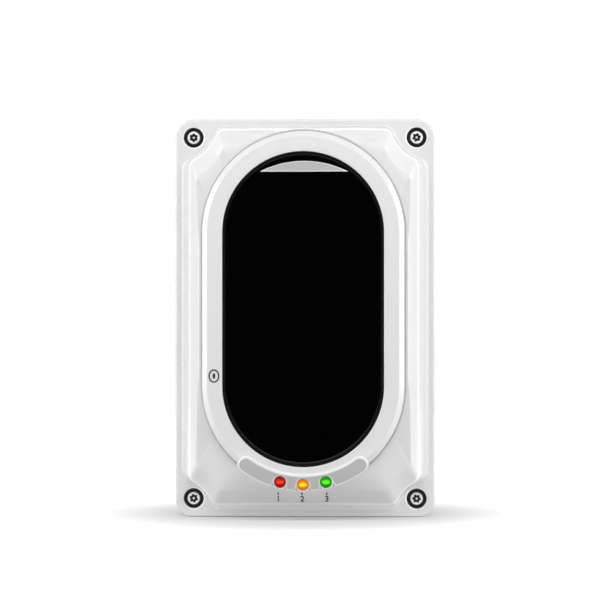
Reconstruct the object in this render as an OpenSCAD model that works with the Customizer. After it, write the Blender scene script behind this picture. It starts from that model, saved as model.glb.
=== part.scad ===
// Reflective beam smoke detector for a wall: back box, gimballed optics, and a front cover with a tall oval window.
// Every module is drawn as seen from the front: x to the right, y up, z out from the wall. A last turn
// stands the part up, so that the wall is the plane Y = 0, the front looks along -Y and the height runs along Z.

/* [Front cover] */
// From the window surround's foot to the cover's edge at each side
side_margin = 15.4; // [14.8:0.1:19]
// From the window surround's foot to the cover's top edge
top_margin = 7.7; // [7.4:0.1:12]
// From the window surround's foot to the cover's bottom edge
bottom_margin = 16.7; // [16.2:0.1:22]
// Corner radius of the flange
cover_r = 9; // [8.5:0.5:11]
// Wall thickness of the cover
cover_wall = 2.5; // [2:0.1:3]
// From the back box's rim to the face of the flange
flange_rise = 12; // [11:0.5:16]
// Flange left bare round the raised body
flange_margin = 3.7; // [3:0.1:5]
// Height of the raised body's leaning wall
body_wall_h = 19; // [16:1:20]
// Lean of that wall at the two sides
draft_side = 4.8; // [4:0.1:5.5]
// Lean of that wall at the top
draft_top = 2.4; // [1.8:0.1:2.6]
// Lean of that wall at the bottom
draft_bottom = 3.8; // [2:0.1:5]
// Rise of the shoulder from that wall to the window surround
shoulder_rise = 7; // [5:0.5:9]
// Width of the band over which the shoulder rises
shoulder_band = 8.5; // [6:0.5:9]
// Share of that band's rise that is crowned, where the rest is flat
crown_share = 0.3; // [0:0.1:1]
// Least distance of an upper cut-in from its screw
cutin_r = 8.2; // [8:0.1:9]
// Least distance of a lower cut-in from its screw
lower_cutin_r = 6; // [5.9:0.1:7]
// Radius of a cut-in's hollow curve
cutin_bow = 23; // [18:1:26]
// Radius that blends a cut-in into the sides
cutin_fillet = 6; // [5.5:0.5:7]
// Lean of the wall along a cut-in
cutin_draft = 2; // [1:0.5:3]
// Height of the skirt that laps the back box
skirt_lap = 2; // [1:0.5:4]
// Play between the skirt and the back box
skirt_play = 0.4; // [0.3:0.05:0.6]

/* [Cover screws] */
// Distance of the cover screws from the edges of the flange
screw_inset = 9.2; // [9:0.1:10]
// Shank radius of a cover screw
screw_shank_r = 2; // [1.5:0.1:2.2]
// Length of a cover screw under its head
screw_length = 17; // [15:0.5:19]
// Head radius of a cover screw
screw_head_r = 3.3; // [2.8:0.1:3.8]
// Head height of a cover screw
screw_head_h = 2.4; // [2:0.1:2.8]
// Width of the six-lobe recess over its lobes
recess_r = 1.45; // [1.2:0.05:1.6]
// Depth of the recess
recess_h = 1.3; // [1:0.1:1.6]
// Radius of the round well
well_r = 5; // [4.5:0.1:5.4]
// Depth of the round well
well_h = 4; // [3.5:0.1:5]
// Thickness of the black seal under the head
screw_seal_h = 1; // [0.6:0.1:1.4]
// Radius of the boss under the well
pillar_r = 6.5; // [6:0.1:7]

/* [Back box] */
// Step from the cover's edge in to the back box
box_step = 2; // [1.8:0.1:3]
// Wall thickness of the back box
box_wall = 3; // [2.5:0.1:3.2]
// Depth of the back box
box_z = 46; // [45:1:49]
// Radius of the corner posts
post_r = 4.6; // [4.4:0.1:5]
// Radius of a threaded insert
insert_r = 2.8; // [2.5:0.1:3.2]
// Length of a threaded insert
insert_h = 8; // [6:0.5:10]
// Spacing of the wall fixing holes across
fixing_dx = 100; // [96:1:102]
// Spacing of the wall fixing holes up
fixing_dy = 140; // [136:1:144]
// Radius of a wall fixing hole
fixing_r = 2.5; // [2:0.1:3]
// Thickness of the seal between box and cover
seal_h = 0.95; // [0.7:0.05:1.2]
// Width of that seal
seal_w = 2.2; // [1.8:0.1:2.4]
// Radius of a cable entry
entry_r = 10; // [8:0.5:10.5]
// Distance of a cable entry from the middle
entry_x = 30; // [26:1:34]
// Height of a cable entry above the wall
entry_z = 24; // [20:1:28]

/* [Window] */
// How far the opening in the surround reaches past a lens
view_margin = 8.1; // [7.6:0.1:8.4]
// Width of the surround over its foot
surround_w = 10; // [9.6:0.1:10.2]
// Height of the surround above its seat
surround_h = 8.8; // [8:0.2:10]
// Width of the surround's outer bevel
bevel_w = 2.6; // [1.5:0.1:3]
// Height of the surround's outer bevel
bevel_h = 2.5; // [1.5:0.1:3]
// Width and depth of the groove round the surround
groove = 0.8; // [0.5:0.1:1]
// Thickness of the seat under the surround
seat_t = 2.5; // [2:0.1:3]
// Width of the seal round the window
window_seal_w = 1.5; // [1:0.1:1.8]
// Thickness of the window's rim
window_rim_t = 2.2; // [1.8:0.1:2.6]
// Depth of the window's face under the surround's face
window_sink = 1.4; // [1:0.1:2]
// Shank radius of a retainer screw
retainer_screw_r = 1.25; // [1:0.05:1.4]

/* [Indicators] */
// Half the angle that the indicator pod spans
pod_angle = 41; // [36:1:44]
// Width of the pod across its arc
pod_w = 8.7; // [8:0.1:9.4]
// How far the pod overhangs the surround
pod_overhang = 1.8; // [1.6:0.1:2.2]
// Height of the pod above the surround's face
pod_h = 3.2; // [2.6:0.1:4]
// How much lower the pod is at its outer edge
pod_fall = 1.4; // [0.8:0.1:2]
// Radius of a light pipe
pipe_r = 2.9; // [2.5:0.1:3]
// Angle between neighbouring light pipes
pipe_step = 13.5; // [12.5:0.5:16]
// Height of a light pipe's dome
dome_h = 2; // [1.5:0.1:2.4]
// Length of a light pipe to the start of its dome
pipe_length = 20; // [18:1:21]

/* [Optics] */
// Radius of a lens
lens_r = 31.5; // [30:0.5:32]
// Thickness of a lens's rim
lens_rim_t = 3; // [2.4:0.1:3.2]
// Rise of a lens's dome
lens_rise = 6; // [4:0.5:6.5]
// Wall of a barrel
barrel_wall = 2; // [1.6:0.1:2.2]
// Inner radius of a barrel at its back
barrel_back_r = 11; // [9:0.5:12]
// How far a barrel reaches behind the turning axes
barrel_drop = 13; // [12:0.5:14]
// From the turning axes to the lens seats
lens_reach = 20.5; // [20:0.5:21.5]
// Gap between the two barrels
barrel_gap = 8.1; // [7:0.1:8.6]
// Thickness of the optics carrier
carrier_t = 3.5; // [3:0.1:4]
// How far the optics carrier reaches past a lens
carrier_margin = 5; // [4.6:0.1:5.2]
// Gap between the optics carrier and the pan frame
frame_gap = 1.5; // [1.3:0.1:1.8]
// Width of the pan frame's bars
frame_bar = 5; // [4:0.1:5.2]
// Depth of the pan frame's bars
frame_depth = 10; // [9:0.5:11]
// Radius of the four pivot pins
pin_r = 2.5; // [2:0.1:2.8]
// Play round a turning pin
pin_play = 0.05; // [0.03:0.01:0.1]

/* [Adjusters] */
// Radius of a thumbwheel
wheel_r = 6.5; // [5:0.1:6.8]
// Thickness of a thumbwheel
wheel_t = 5; // [4:0.1:5]
// Number of grooves round a thumbwheel
wheel_grooves = 20; // [12:1:24]
// Radius of an adjusting screw
adjuster_r = 1.5; // [1.2:0.1:1.6]
// From the pan frame's side to the pan adjuster
pan_gap = 4.5; // [4.5:0.1:5]
// Height of the pan adjuster above the middle
pan_adjuster_y = 30; // [26:1:34]
// From the pan frame's inner side to the tilt adjuster
tilt_inset_x = 5; // [4.8:0.1:5.5]
// From the pan frame's inner end to the tilt adjuster
tilt_inset_y = 10.2; // [9.2:0.1:10.7]

/* [Circuit boards] */
// Thickness of the circuit boards
board_t = 1.6; // [1:0.1:2]
// Gap between the main board and the back box's side walls
board_gap = 4; // [3:0.5:5]
// Gap between the main board and the upper pivot bracket
board_top_gap = 10; // [9:0.5:11]
// Gap between the main board and the lower pivot bracket
board_bottom_gap = 4; // [3:0.5:5]
// Height of the standoffs on the floor
standoff_h = 5; // [4:0.5:6]
// Terminals in the longer block
terminals_long = 12; // [6:1:12]
// Terminals in the shorter block
terminals_short = 6; // [3:1:6]
// Travel of the mode switch
switch_travel = 3; // [2:0.5:4]

/* [Hidden] */
$fn = 64;

// Colours
white_plastic = [0.9, 0.9, 0.89];
grey_plastic = [0.55, 0.56, 0.58];
black_plastic = [0.06, 0.06, 0.07];
rubber = [0.1, 0.1, 0.1];
steel = [0.72, 0.73, 0.75];
brass = [0.8, 0.65, 0.3];
board_green = [0.08, 0.36, 0.2];
lens_clear = [0.75, 0.82, 0.88];
lamp_white = [0.93, 0.93, 0.88];

// Common small sizes: the overrun of every cut, the fit of a part in its seat, and a loose play
cut = 1;
fit = 0.05;
play = 0.3;
fine_fn = 96;

// Barrels, and the window opening that follows them
ring_play = 0.15;
barrel_outer_r = lens_r + ring_play + barrel_wall;
window_half = barrel_outer_r + barrel_gap / 2;
opening_r = lens_r + view_margin;
surround_r = opening_r + surround_w;

// Front cover
half_w = surround_r + side_margin;
half_h = window_half + surround_r + (top_margin + bottom_margin) / 2;
window_y = (bottom_margin - top_margin) / 2;
flange_z = box_z + flange_rise;
seal_z = box_z + fit;
ledge_z = seal_z + seal_h;
ledge_w = 4.5;
plate_z = flange_z - cover_wall;
edge_z = flange_z + body_wall_h;
shoulder_z = edge_z + shoulder_rise;
screw_x = half_w - screw_inset;
screw_y = half_h - screw_inset;
well_z = flange_z - well_h;
head_z = well_z + screw_seal_h;
bore_play = 0.25;
recess_lobe_r = 0.45;
recess_pin_r = 0.35;

// Points of the raised body's outline and rings of its shoulder, as shares of the shoulder's width
fillet_steps = 4;
cutin_steps = 6;
side_points = 8;
end_points = 6;
least_fillet = 0.6;
shoulder_shares = [0.12, 0.3, 0.5, 0.75, 1];
band_share = 0.9;

// Window surround, window and the seal between them
seat_z = shoulder_z - groove;
seat_back_z = seat_z - seat_t;
surround_z = seat_z + surround_h;
land_w = 0.5;
shoulder_r = surround_r + groove + land_w;
inner_chamfer = 0.6;
plug_h = 2;
seal_leg_t = 0.6;
rebate_w = 2.8;
seal_play = 0.1;
window_z = surround_z - window_sink;
rebate_z = window_z - plug_h;
rebate_r = opening_r + rebate_w;
rim_r = rebate_r - play;
rim_front_z = rebate_z - seal_leg_t;
rim_back_z = rim_front_z - window_rim_t;
plug_r = opening_r - window_seal_w;

// Window retainer and its screws
retainer_t = 2.5;
retainer_lap = 1.1;
retainer_edge = 2.1;
retainer_inner = opening_r - retainer_lap;
retainer_outer = surround_r - retainer_edge;
retainer_z = seat_back_z - retainer_t;
retainer_screw_edge = 4.2;
retainer_reach = surround_r - retainer_screw_edge;
retainer_head_r = 2.4;
retainer_head_h = 1.4;
retainer_screw_l = 9.5;
retainer_side_share = 0.4;
retainer_angles = [45, 135];

// Indicator pod and light pipes
arc_y = window_y - window_half;
pod_z = surround_z + pod_h;
pod_outer = surround_r + pod_overhang;
pod_inner = pod_outer - pod_w;
pod_chamfer = 0.6;
pipe_edge = 1.55;
pipe_place = surround_r - pipe_edge;
pipe_play = 0.1;
dome_z = pod_z - dome_h;
pipe_z = dome_z - pipe_length;
scoop_r = 3.6;
scoop_flare = 2;
scoop_l = 12;
scoop_tilt = 68;
scoop_back = 3;
scoop_rise = 1.6;

// Back box
box_half_w = half_w - box_step;
box_half_h = half_h - box_step;
box_r = cover_r - box_step;
floor_z = box_wall;
seal_edge = 0.4;
fixing_pad_r = 5.5;
fixing_pad_h = 1.5;
pilot_h = 4;
entry_flange_w = 2;
entry_flange_t = 1.8;
entry_membrane_t = 1;
entry_hollow_w = 2.6;

// Optics, with the two turning axes in the plane of the back box's rim
axis_z = box_z;
barrel_back_z = axis_z - barrel_drop;
lens_seat_z = axis_z + lens_reach;
lens_places = [window_y + window_half, window_y - window_half];
carrier_z = axis_z - carrier_t / 2;
carrier_top = carrier_z + carrier_t;
ring_t = 2.2;
lens_step = 1.6;
lens_flat = 2;
barrel_front_z = lens_seat_z + lens_rim_t + ring_t;
barrel_flange_t = 2.5;
barrel_hole_gap = 2;
barrel_hole_r = barrel_r_at(carrier_top) + barrel_hole_gap;
barrel_flange_lap = 5.2;
barrel_flange_r = barrel_hole_r + barrel_flange_lap;
barrel_screw_inset = 2.2;
barrel_screw_reach = barrel_flange_r - barrel_screw_inset;
carrier_r = lens_r + carrier_margin;
flange_root_share = 0.7;
small_screw_r = 1.2;
small_screw_l = 5.5;
small_head_r = 2;
small_head_h = 1.4;
small_slot_w = 0.6;
sensor_half = 14.5;
emitter_r = 2.5;
emitter_h = 7;
diode_w = 5;
diode_h = 3;
shield_w = 20;
shield_h = 5;
shield_t = 0.5;

// Pan frame and pivots
frame_inner = carrier_r + frame_gap;
frame_half = window_half + frame_inner;
frame_z = axis_z - frame_depth / 2;
frame_r = 6;
frame_top = window_y + frame_half + frame_bar;
frame_bottom = window_y - frame_half - frame_bar;
pivot_boss_r = 4.5;
pivot_boss_h = 1;
pin_head_r = 3.8;
pin_head_t = 1.2;
arm_t = 2.5;
arm_half = 12;
arm_rise = 6;
foot_l = 18;
foot_t = 2;
upper_arm_y = frame_top + pivot_boss_h + play + arm_t;
lower_arm_y = frame_bottom - pivot_boss_h - play - arm_t;
foot_screw_x = 7;
foot_screw_inset = 5;
ear_w = 6;
ear_half = 7;
ear_depth = 11;
pin_inset = 1;

// Adjusters
pan_arm = frame_inner + frame_bar + pan_gap;
tilt_arm = frame_half - tilt_inset_y;
plate_t = 4;
pan_plate_drop = 3;
pan_plate_z = frame_z - pan_plate_drop;
tilt_plate_z = frame_z;
collar_r = 2.6;
collar_t = 0.8;
screw_tail = 2;
lug_t = 3;
lug_edge = 1.5;
pan_lug_rise = 3;
pan_lug_z = axis_z + pan_lug_rise;
tilt_lug_rise = 8.5;
tilt_lug_z = axis_z + tilt_lug_rise;
slot_r = 1.9;
slot_reach = 1.6;
pan_wheel_gap = 12;
pan_wheel_z = pan_lug_z + lug_t + pan_wheel_gap;
tilt_wheel_gap = 8.5;
tilt_wheel_z = tilt_lug_z + lug_t + tilt_wheel_gap;
wheel_groove_r = 0.5;
tilt_x = tilt_inset_x - frame_inner;
tilt_y = window_y + tilt_arm;
riser_reach = 18;
riser_w = 5.5;
gusset_edge = 2;
gusset_w = 11;
gusset_y = tilt_y - wheel_r;
bracket_t = 2.5;
bracket_x = pan_arm + wheel_r - bracket_t;
bracket_half = 11;
bracket_screw_y = 8;
bearing_half = 5;
bearing_left = 3.2;

// Circuit boards and what stands on them
board_half_w = box_half_w - box_wall - board_gap;
board_top = upper_arm_y - foot_l - board_top_gap;
board_bottom = -lower_arm_y - foot_l - board_bottom_gap;
board_z = floor_z + standoff_h;
board_face = board_z + board_t;
standoff_r = 3.5;
board_screw_inset = 4;
notch_gap = 2;
notch_left = 2.5;
notch_x = pan_arm - standoff_r - notch_left;
notch_half = bracket_half + notch_gap;
terminal_pitch = 5;
terminal_w = 10;
terminal_h = 10;
terminal_hole_r = 1.8;
terminal_screw_r = 1.6;
terminal_wire_w = 3;
terminal_floor = 1.5;
terminal_x = board_half_w - terminal_w / 2;
terminal_long_y = 0;
terminal_short_y = -27;
relay_size = [24, 10, 11];
relay_x = 16;
capacitor_r = 4;
capacitor_h = 11;
capacitor_gap = 1;
capacitor_x = relay_x + relay_size[0] / 2 + capacitor_gap + capacitor_r;
capacitor_rows = [10, -1];
processor_size = [12, 12, 1.2];
processor_place = [-18, -26];
chip_size = [5, 6, 1.5];
chip_places = [[14, -24], [24, -24], [-22, 38], [20, 40]];
chip_pins = 4;
pin_size = [0.5, 0.9, 0.3];
switch_size = [8, 13, 5];
switch_edge = 17;
switch_y = switch_edge - board_bottom;
switch_wall = 1;
knob_w = 2.6;
knob_h = 3.2;
lamp_r = 1.5;
lamp_h = 4;
lamp_gap = 0.7;
lamp_board_z = pipe_z - lamp_gap - lamp_h - board_t;
lamp_board_y = arc_y - pipe_place - lamp_gap * 2;
lamp_post_x = 22;
lamp_post_r = 3.2;
lamp_board_end = 5;
lamp_board_half = [lamp_post_x + lamp_board_end, 6.2];
lamp_stud_r = 1.5;
lamp_stud_h = 2;

// Turns the model from its drawing position to standing against the wall
module stand_up() {
    rotate([90, 0, 0])
        children();
}

// Shared shapes

// Its child at the four cover screws
module at_cover_screws() {
    for (side = [-1, 1])
        for (end = [-1, 1])
            translate([side * screw_x, end * screw_y])
                children();
}

// A block with rounded corners, given by its half sizes, from height z0 to height z1
module slab(half_x, half_y, r, z0, z1) {
    translate([0, 0, z0])
        linear_extrude(z1 - z0) {
            square([2 * half_x, 2 * (half_y - r)], center = true);
            square([2 * (half_x - r), 2 * half_y], center = true);
            for (side = [-1, 1])
                for (end = [-1, 1])
                    translate([side * (half_x - r), end * (half_y - r)])
                        circle(r);
        }
}

// A profile swept round the window: its x runs out from the arcs' middles, its y is the height
module round_window() {
    translate([0, window_y])
        for (turn = [0, 180])
            rotate(turn) {
                translate([0, window_half])
                    rotate_extrude(angle = 180, $fn = fine_fn)
                        children();
                rotate([90, 0, 0])
                    linear_extrude(2 * window_half, center = true)
                        children();
            }
}

// A tall oval plate of half width r, concentric with the window
module oval(r, z0, z1) {
    round_window()
        polygon([[0, z0], [r, z0], [r, z1], [0, z1]]);
}

// A round ring between two radii and two heights
module ring(inner, outer, z0, z1) {
    translate([0, 0, z0])
        difference() {
            cylinder(r = outer, h = z1 - z0);
            translate([0, 0, -cut])
                cylinder(r = inner, h = z1 - z0 + 2 * cut);
        }
}

// A slotted screw that points into -z, with its head's underside at height z
module small_screw(z, length = small_screw_l, r = small_screw_r, head_r = small_head_r, head_h = small_head_h) {
    translate([0, 0, z - length])
        cylinder(r = r, h = length + fit);
    difference() {
        translate([0, 0, z])
            cylinder(r = head_r, h = head_h);
        translate([-head_r, -small_slot_w / 2, z + head_h / 2])
            cube([2 * head_r, small_slot_w, head_h]);
    }
}

// Outline of the raised body

function arc(middle, r, from, to, steps) =
    [for (i = [0:steps]) middle + r * [cos(from + (to - from) * i / steps), sin(from + (to - from) * i / steps)]];

function heading(v) = atan2(v[1], v[0]);

// Middle of the curve of a cut-in that passes its screw at distance r
function cutin_middle(r) = [screw_x, screw_y] + [1, 1] * (cutin_bow - r) / sqrt(2);

// One quarter, from the side round the cut-in to the end: half sizes a and b, cut-in of radius rc about s, blend rf
function quarter(a, b, s, rc, rf) =
    let (
        f1 = [a - rf, s[1] - sqrt(pow(rc + rf, 2) - pow(s[0] - a + rf, 2))],
        f2 = [s[0] - sqrt(pow(rc + rf, 2) - pow(s[1] - b + rf, 2)), b - rf],
        low = heading(f1 - s) + 360,
        high = heading(f2 - s) + (f2[1] < s[1] ? 360 : 0)
    )
    concat(
        arc(f1, rf, 0, heading(s - f1), fillet_steps),
        [for (i = [1:cutin_steps - 1]) arc(s, rc, low, high, cutin_steps)[i]],
        arc(f2, rf, heading(s - f2), 90, fillet_steps)
    );

function flipped(points, sx, sy) = [for (p = points) [p[0] * sx, p[1] * sy]];
function backward(points) = [for (i = [len(points) - 1:-1:0]) points[i]];
function between(p, q, count) = [for (i = [1:count]) p + (q - p) * i / (count + 1)];

// Share of the shoulder's rise at a share of its band's width
function rise_share(t) = (1 - crown_share) * t + crown_share * sin(90 * t);

// The whole outline, a wall thickness further in, with the given share of the walls' lean
function body_outline(wall, lean) =
    let (
        a = half_w - flange_margin - wall - draft_side * lean,
        top = half_h - flange_margin - wall - draft_top * lean,
        bottom = half_h - flange_margin - wall - draft_bottom * lean,
        rc = cutin_bow + wall + cutin_draft * lean,
        rf = max(cutin_fillet - wall - cutin_draft * lean, least_fillet),
        q1 = quarter(a, top, cutin_middle(cutin_r), rc, rf),
        q2 = backward(flipped(q1, -1, 1)),
        q3 = flipped(quarter(a, bottom, cutin_middle(lower_cutin_r), rc, rf), -1, -1),
        q4 = backward(flipped(q3, -1, 1)),
        last = len(q1) - 1
    )
    concat(
        q1, between(q1[last], q2[0], end_points),
        q2, between(q2[last], q3[0], side_points),
        q3, between(q3[last], q4[0], end_points),
        q4, between(q4[last], q1[0], side_points)
    );

// Where the ray from the window's middle through a point meets an oval of half width r
function on_oval(p, r) =
    let (
        d = p - [0, window_y],
        u = d / norm(d),
        side = abs(u[0]) > 0 ? r / abs(u[0]) : r * r,
        reach = abs(u[1]) * side <= window_half
            ? side
            : window_half * abs(u[1]) + sqrt(r * r - pow(window_half * u[0], 2))
    )
    [0, window_y] + u * reach;

function level(points, z) = [for (p = points) [p[0], p[1], z]];

// The raised body as a solid, a wall thickness further in and down, from height z0 to height z2
module raised_body(wall, z0, z2) {
    z1 = edge_z - wall;
    foot = body_outline(wall, 0);
    edge = body_outline(wall, 1);
    top = [for (p = edge) on_oval(p, shoulder_r - wall)];
    rings = concat(
        [level(foot, z0), level(foot, flange_z), level(edge, z1)],
        [for (t = shoulder_shares)
            level(
                [for (i = [0:len(edge) - 1])
                    edge[i] + (top[i] - edge[i]) * t * min(band_share, shoulder_band / norm(top[i] - edge[i]))],
                z1 + (z2 - z1) * rise_share(t)
            )],
        [level(top, z2)]
    );
    n = len(foot);
    last = len(rings) - 1;
    polyhedron(
        points = [for (r = rings) each r],
        faces = concat(
            [[for (i = [0:n - 1]) i]],
            [for (k = [0:last - 1], i = [0:n - 1]) [k * n + i, (k + 1) * n + i, (k + 1) * n + (i + 1) % n]],
            [for (k = [0:last - 1], i = [0:n - 1]) [k * n + i, (k + 1) * n + (i + 1) % n, k * n + (i + 1) % n]],
            [[for (i = [n - 1:-1:0]) last * n + i]]
        )
    );
}

// Its child at the three light pipes, turned so that +x points down and out across the pod
module at_pipes(steps = [-1, 0, 1]) {
    for (step = steps)
        translate([0, arc_y])
            rotate(270 + step * pipe_step)
                translate([pipe_place, 0])
                    children();
}

// Its child at the retainer's screws
module at_retainer_screws() {
    for (end = [-1, 1])
        for (angle = retainer_angles)
            translate([0, window_y + end * window_half])
                rotate(end * angle)
                    translate([retainer_reach, 0])
                        children();
    for (side = [-1, 1])
        for (end = [-1, 1])
            translate([side * retainer_reach, window_y + end * window_half * retainer_side_share])
                children();
}

// Front cover

module front_cover() {
    foot_z = seal_z - skirt_lap;
    color(white_plastic)
        stand_up()
            difference() {
                union() {
                    difference() {
                        slab(half_w, half_h, cover_r, foot_z, flange_z);
                        slab(
                            box_half_w + skirt_play, box_half_h + skirt_play, box_r + skirt_play,
                            foot_z - cut, ledge_z
                        );
                        slab(half_w - ledge_w, half_h - ledge_w, cover_r - ledge_w, ledge_z - cut, plate_z);
                    }
                    at_cover_screws()
                        translate([0, 0, ledge_z])
                            cylinder(r = pillar_r, h = plate_z + fit - ledge_z);
                    raised_body(0, plate_z + cut, shoulder_z);
                }
                raised_body(cover_wall, plate_z - cut, seat_back_z);
                oval(surround_r + groove, seat_z, shoulder_z + cut);
                oval(rebate_r + play, seat_back_z - cut, shoulder_z + cut);
                at_cover_screws() {
                    translate([0, 0, well_z])
                        cylinder(r = well_r, h = well_h + cut);
                    translate([0, 0, ledge_z - cut])
                        cylinder(r = screw_shank_r + bore_play, h = flange_z - ledge_z);
                }
                at_pipes()
                    translate([0, 0, pipe_z])
                        cylinder(r = pipe_r + pipe_play, h = surround_z - pipe_z);
                at_retainer_screws()
                    translate([0, 0, seat_back_z - cut])
                        cylinder(r = retainer_screw_r + bore_play, h = seat_t + 2 * cut);
            }
}

module cover_seal() {
    outer_w = box_half_w - seal_edge;
    outer_h = box_half_h - seal_edge;
    outer_r = box_r - seal_edge;
    color(rubber)
        stand_up()
            difference() {
                slab(outer_w, outer_h, outer_r, seal_z, ledge_z);
                slab(outer_w - seal_w, outer_h - seal_w, outer_r - seal_w, seal_z - cut, ledge_z + cut);
            }
}

// Six lobes round a middle pin, sunk into the head
module six_lobe_recess(z) {
    translate([0, 0, z])
        difference() {
            union() {
                cylinder(r = recess_r - recess_lobe_r, h = recess_h + cut);
                for (turn = [0:60:300])
                    rotate(turn)
                        translate([recess_r - recess_lobe_r, 0])
                            cylinder(r = recess_lobe_r, h = recess_h + cut);
            }
            translate([0, 0, -cut])
                cylinder(r = recess_pin_r, h = recess_h + cut - fit);
        }
}

module cover_screws() {
    color(steel)
        stand_up()
            at_cover_screws() {
                difference() {
                    translate([0, 0, head_z])
                        cylinder(r = screw_head_r, h = screw_head_h);
                    six_lobe_recess(head_z + screw_head_h - recess_h);
                }
                translate([0, 0, head_z - screw_length])
                    cylinder(r = screw_shank_r, h = screw_length);
            }
}

module screw_seals() {
    color(rubber)
        stand_up()
            at_cover_screws()
                ring(screw_shank_r + fit, well_r - seal_play, well_z, head_z);
}

// Window and what holds it

module window_surround() {
    color(white_plastic)
        stand_up()
            difference() {
                round_window()
                    polygon([
                        [rebate_r, seat_z],
                        [surround_r, seat_z],
                        [surround_r, surround_z - bevel_h],
                        [surround_r - bevel_w, surround_z],
                        [opening_r + inner_chamfer, surround_z],
                        [opening_r, surround_z - inner_chamfer],
                        [opening_r, rebate_z],
                        [rebate_r, rebate_z]
                    ]);
                at_pipes()
                    translate([0, 0, seat_z - cut])
                        cylinder(r = pipe_r + pipe_play, h = surround_h + 2 * cut);
                at_retainer_screws()
                    translate([0, 0, seat_z - cut])
                        cylinder(r = retainer_screw_r + fit, h = retainer_screw_l - retainer_t - seat_t + cut + play);
            }
}

module window() {
    color(black_plastic)
        stand_up()
            round_window()
                polygon([
                    [0, rim_back_z],
                    [rim_r, rim_back_z],
                    [rim_r, rim_front_z],
                    [plug_r - seal_play, rim_front_z],
                    [plug_r - seal_play, window_z - inner_chamfer],
                    [plug_r - seal_play - inner_chamfer, window_z],
                    [0, window_z]
                ]);
}

module window_seal() {
    color(rubber)
        stand_up()
            round_window()
                polygon([
                    [plug_r, rim_front_z],
                    [rim_r, rim_front_z],
                    [rim_r, rebate_z],
                    [opening_r - seal_play, rebate_z],
                    [opening_r - seal_play, window_z],
                    [plug_r, window_z]
                ]);
}

module window_retainer() {
    color(grey_plastic)
        stand_up()
            difference() {
                round_window()
                    polygon([
                        [retainer_inner, retainer_z],
                        [retainer_outer, retainer_z],
                        [retainer_outer, seat_back_z],
                        [rim_r, seat_back_z],
                        [rim_r, rim_back_z],
                        [retainer_inner, rim_back_z]
                    ]);
                at_pipes()
                    translate([0, 0, retainer_z - cut])
                        cylinder(r = pipe_r + play, h = retainer_t + 2 * cut);
                at_retainer_screws()
                    translate([0, 0, retainer_z - cut])
                        cylinder(r = retainer_screw_r + bore_play, h = retainer_t + 2 * cut);
            }
}

module retainer_screws() {
    color(steel)
        stand_up()
            at_retainer_screws()
                translate([0, 0, retainer_z])
                    mirror([0, 0, 1])
                        small_screw(0, retainer_screw_l, retainer_screw_r, retainer_head_r, retainer_head_h);
}

// Indicator pod and light pipes

module indicator_panel() {
    skirt_r = surround_r + play;
    color(white_plastic)
        stand_up()
            difference() {
                translate([0, arc_y])
                    rotate(270 - pod_angle)
                        rotate_extrude(angle = 2 * pod_angle, $fn = fine_fn)
                            polygon([
                                [pod_inner, surround_z],
                                [surround_r - bevel_w + fit, surround_z],
                                [skirt_r, surround_z - bevel_h],
                                [skirt_r, shoulder_z + play],
                                [pod_outer, shoulder_z + play],
                                [pod_outer, pod_z - pod_fall - pod_chamfer],
                                [pod_outer - pod_chamfer, pod_z - pod_fall],
                                [pod_inner + pod_chamfer, pod_z],
                                [pod_inner, pod_z - pod_chamfer]
                            ]);
                at_pipes() {
                    translate([0, 0, shoulder_z - cut])
                        cylinder(r = pipe_r + pipe_play, h = pod_z - shoulder_z + 2 * cut);
                    translate([-scoop_back, 0, dome_z + scoop_rise])
                        rotate([0, scoop_tilt, 0])
                            cylinder(r1 = scoop_r, r2 = scoop_r + scoop_flare, h = scoop_l);
                }
            }
}

// One light pipe with a domed end
module light_pipe(step, lit) {
    dome_r = (pipe_r * pipe_r + dome_h * dome_h) / (2 * dome_h);
    color(lit)
        stand_up()
            at_pipes([step]) {
                translate([0, 0, pipe_z])
                    cylinder(r = pipe_r, h = pipe_length);
                intersection() {
                    translate([0, 0, dome_z - fit])
                        cylinder(r = pipe_r, h = dome_h + cut);
                    translate([0, 0, dome_z + dome_h - dome_r])
                        sphere(dome_r);
                }
            }
}

module fire_indicator() {
    light_pipe(-1, [0.8, 0.08, 0.08]);
}

module fault_indicator() {
    light_pipe(0, [0.95, 0.65, 0.1]);
}

module alignment_indicator() {
    light_pipe(1, [0.1, 0.6, 0.25]);
}

// Back box

module at_fixings() {
    for (side = [-1, 1])
        for (end = [-1, 1])
            translate([side * fixing_dx / 2, end * fixing_dy / 2])
                children();
}

// Its child at every small screw that goes into a standoff on the floor
module at_standoffs() {
    at_board_screws()
        children();
    at_bracket_screws()
        children();
}

module at_board_screws() {
    for (side = [-1, 1])
        for (y = [board_top - board_screw_inset, board_screw_inset - board_bottom])
            translate([side * (board_half_w - board_screw_inset), y])
                children();
}

module at_bracket_screws() {
    for (side = [-1, 1]) {
        for (y = [upper_arm_y - foot_l + foot_screw_inset, lower_arm_y + foot_l - foot_screw_inset])
            translate([side * foot_screw_x, y])
                children();
        translate([pan_arm, pan_adjuster_y + side * bracket_screw_y])
            children();
    }
}

module at_lamp_posts() {
    for (side = [-1, 1])
        translate([side * lamp_post_x, lamp_board_y])
            children();
}

module at_entries() {
    for (side = [-1, 1])
        translate([side * entry_x, -box_half_h, entry_z])
            rotate([-90, 0, 0])
                children();
}

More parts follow.
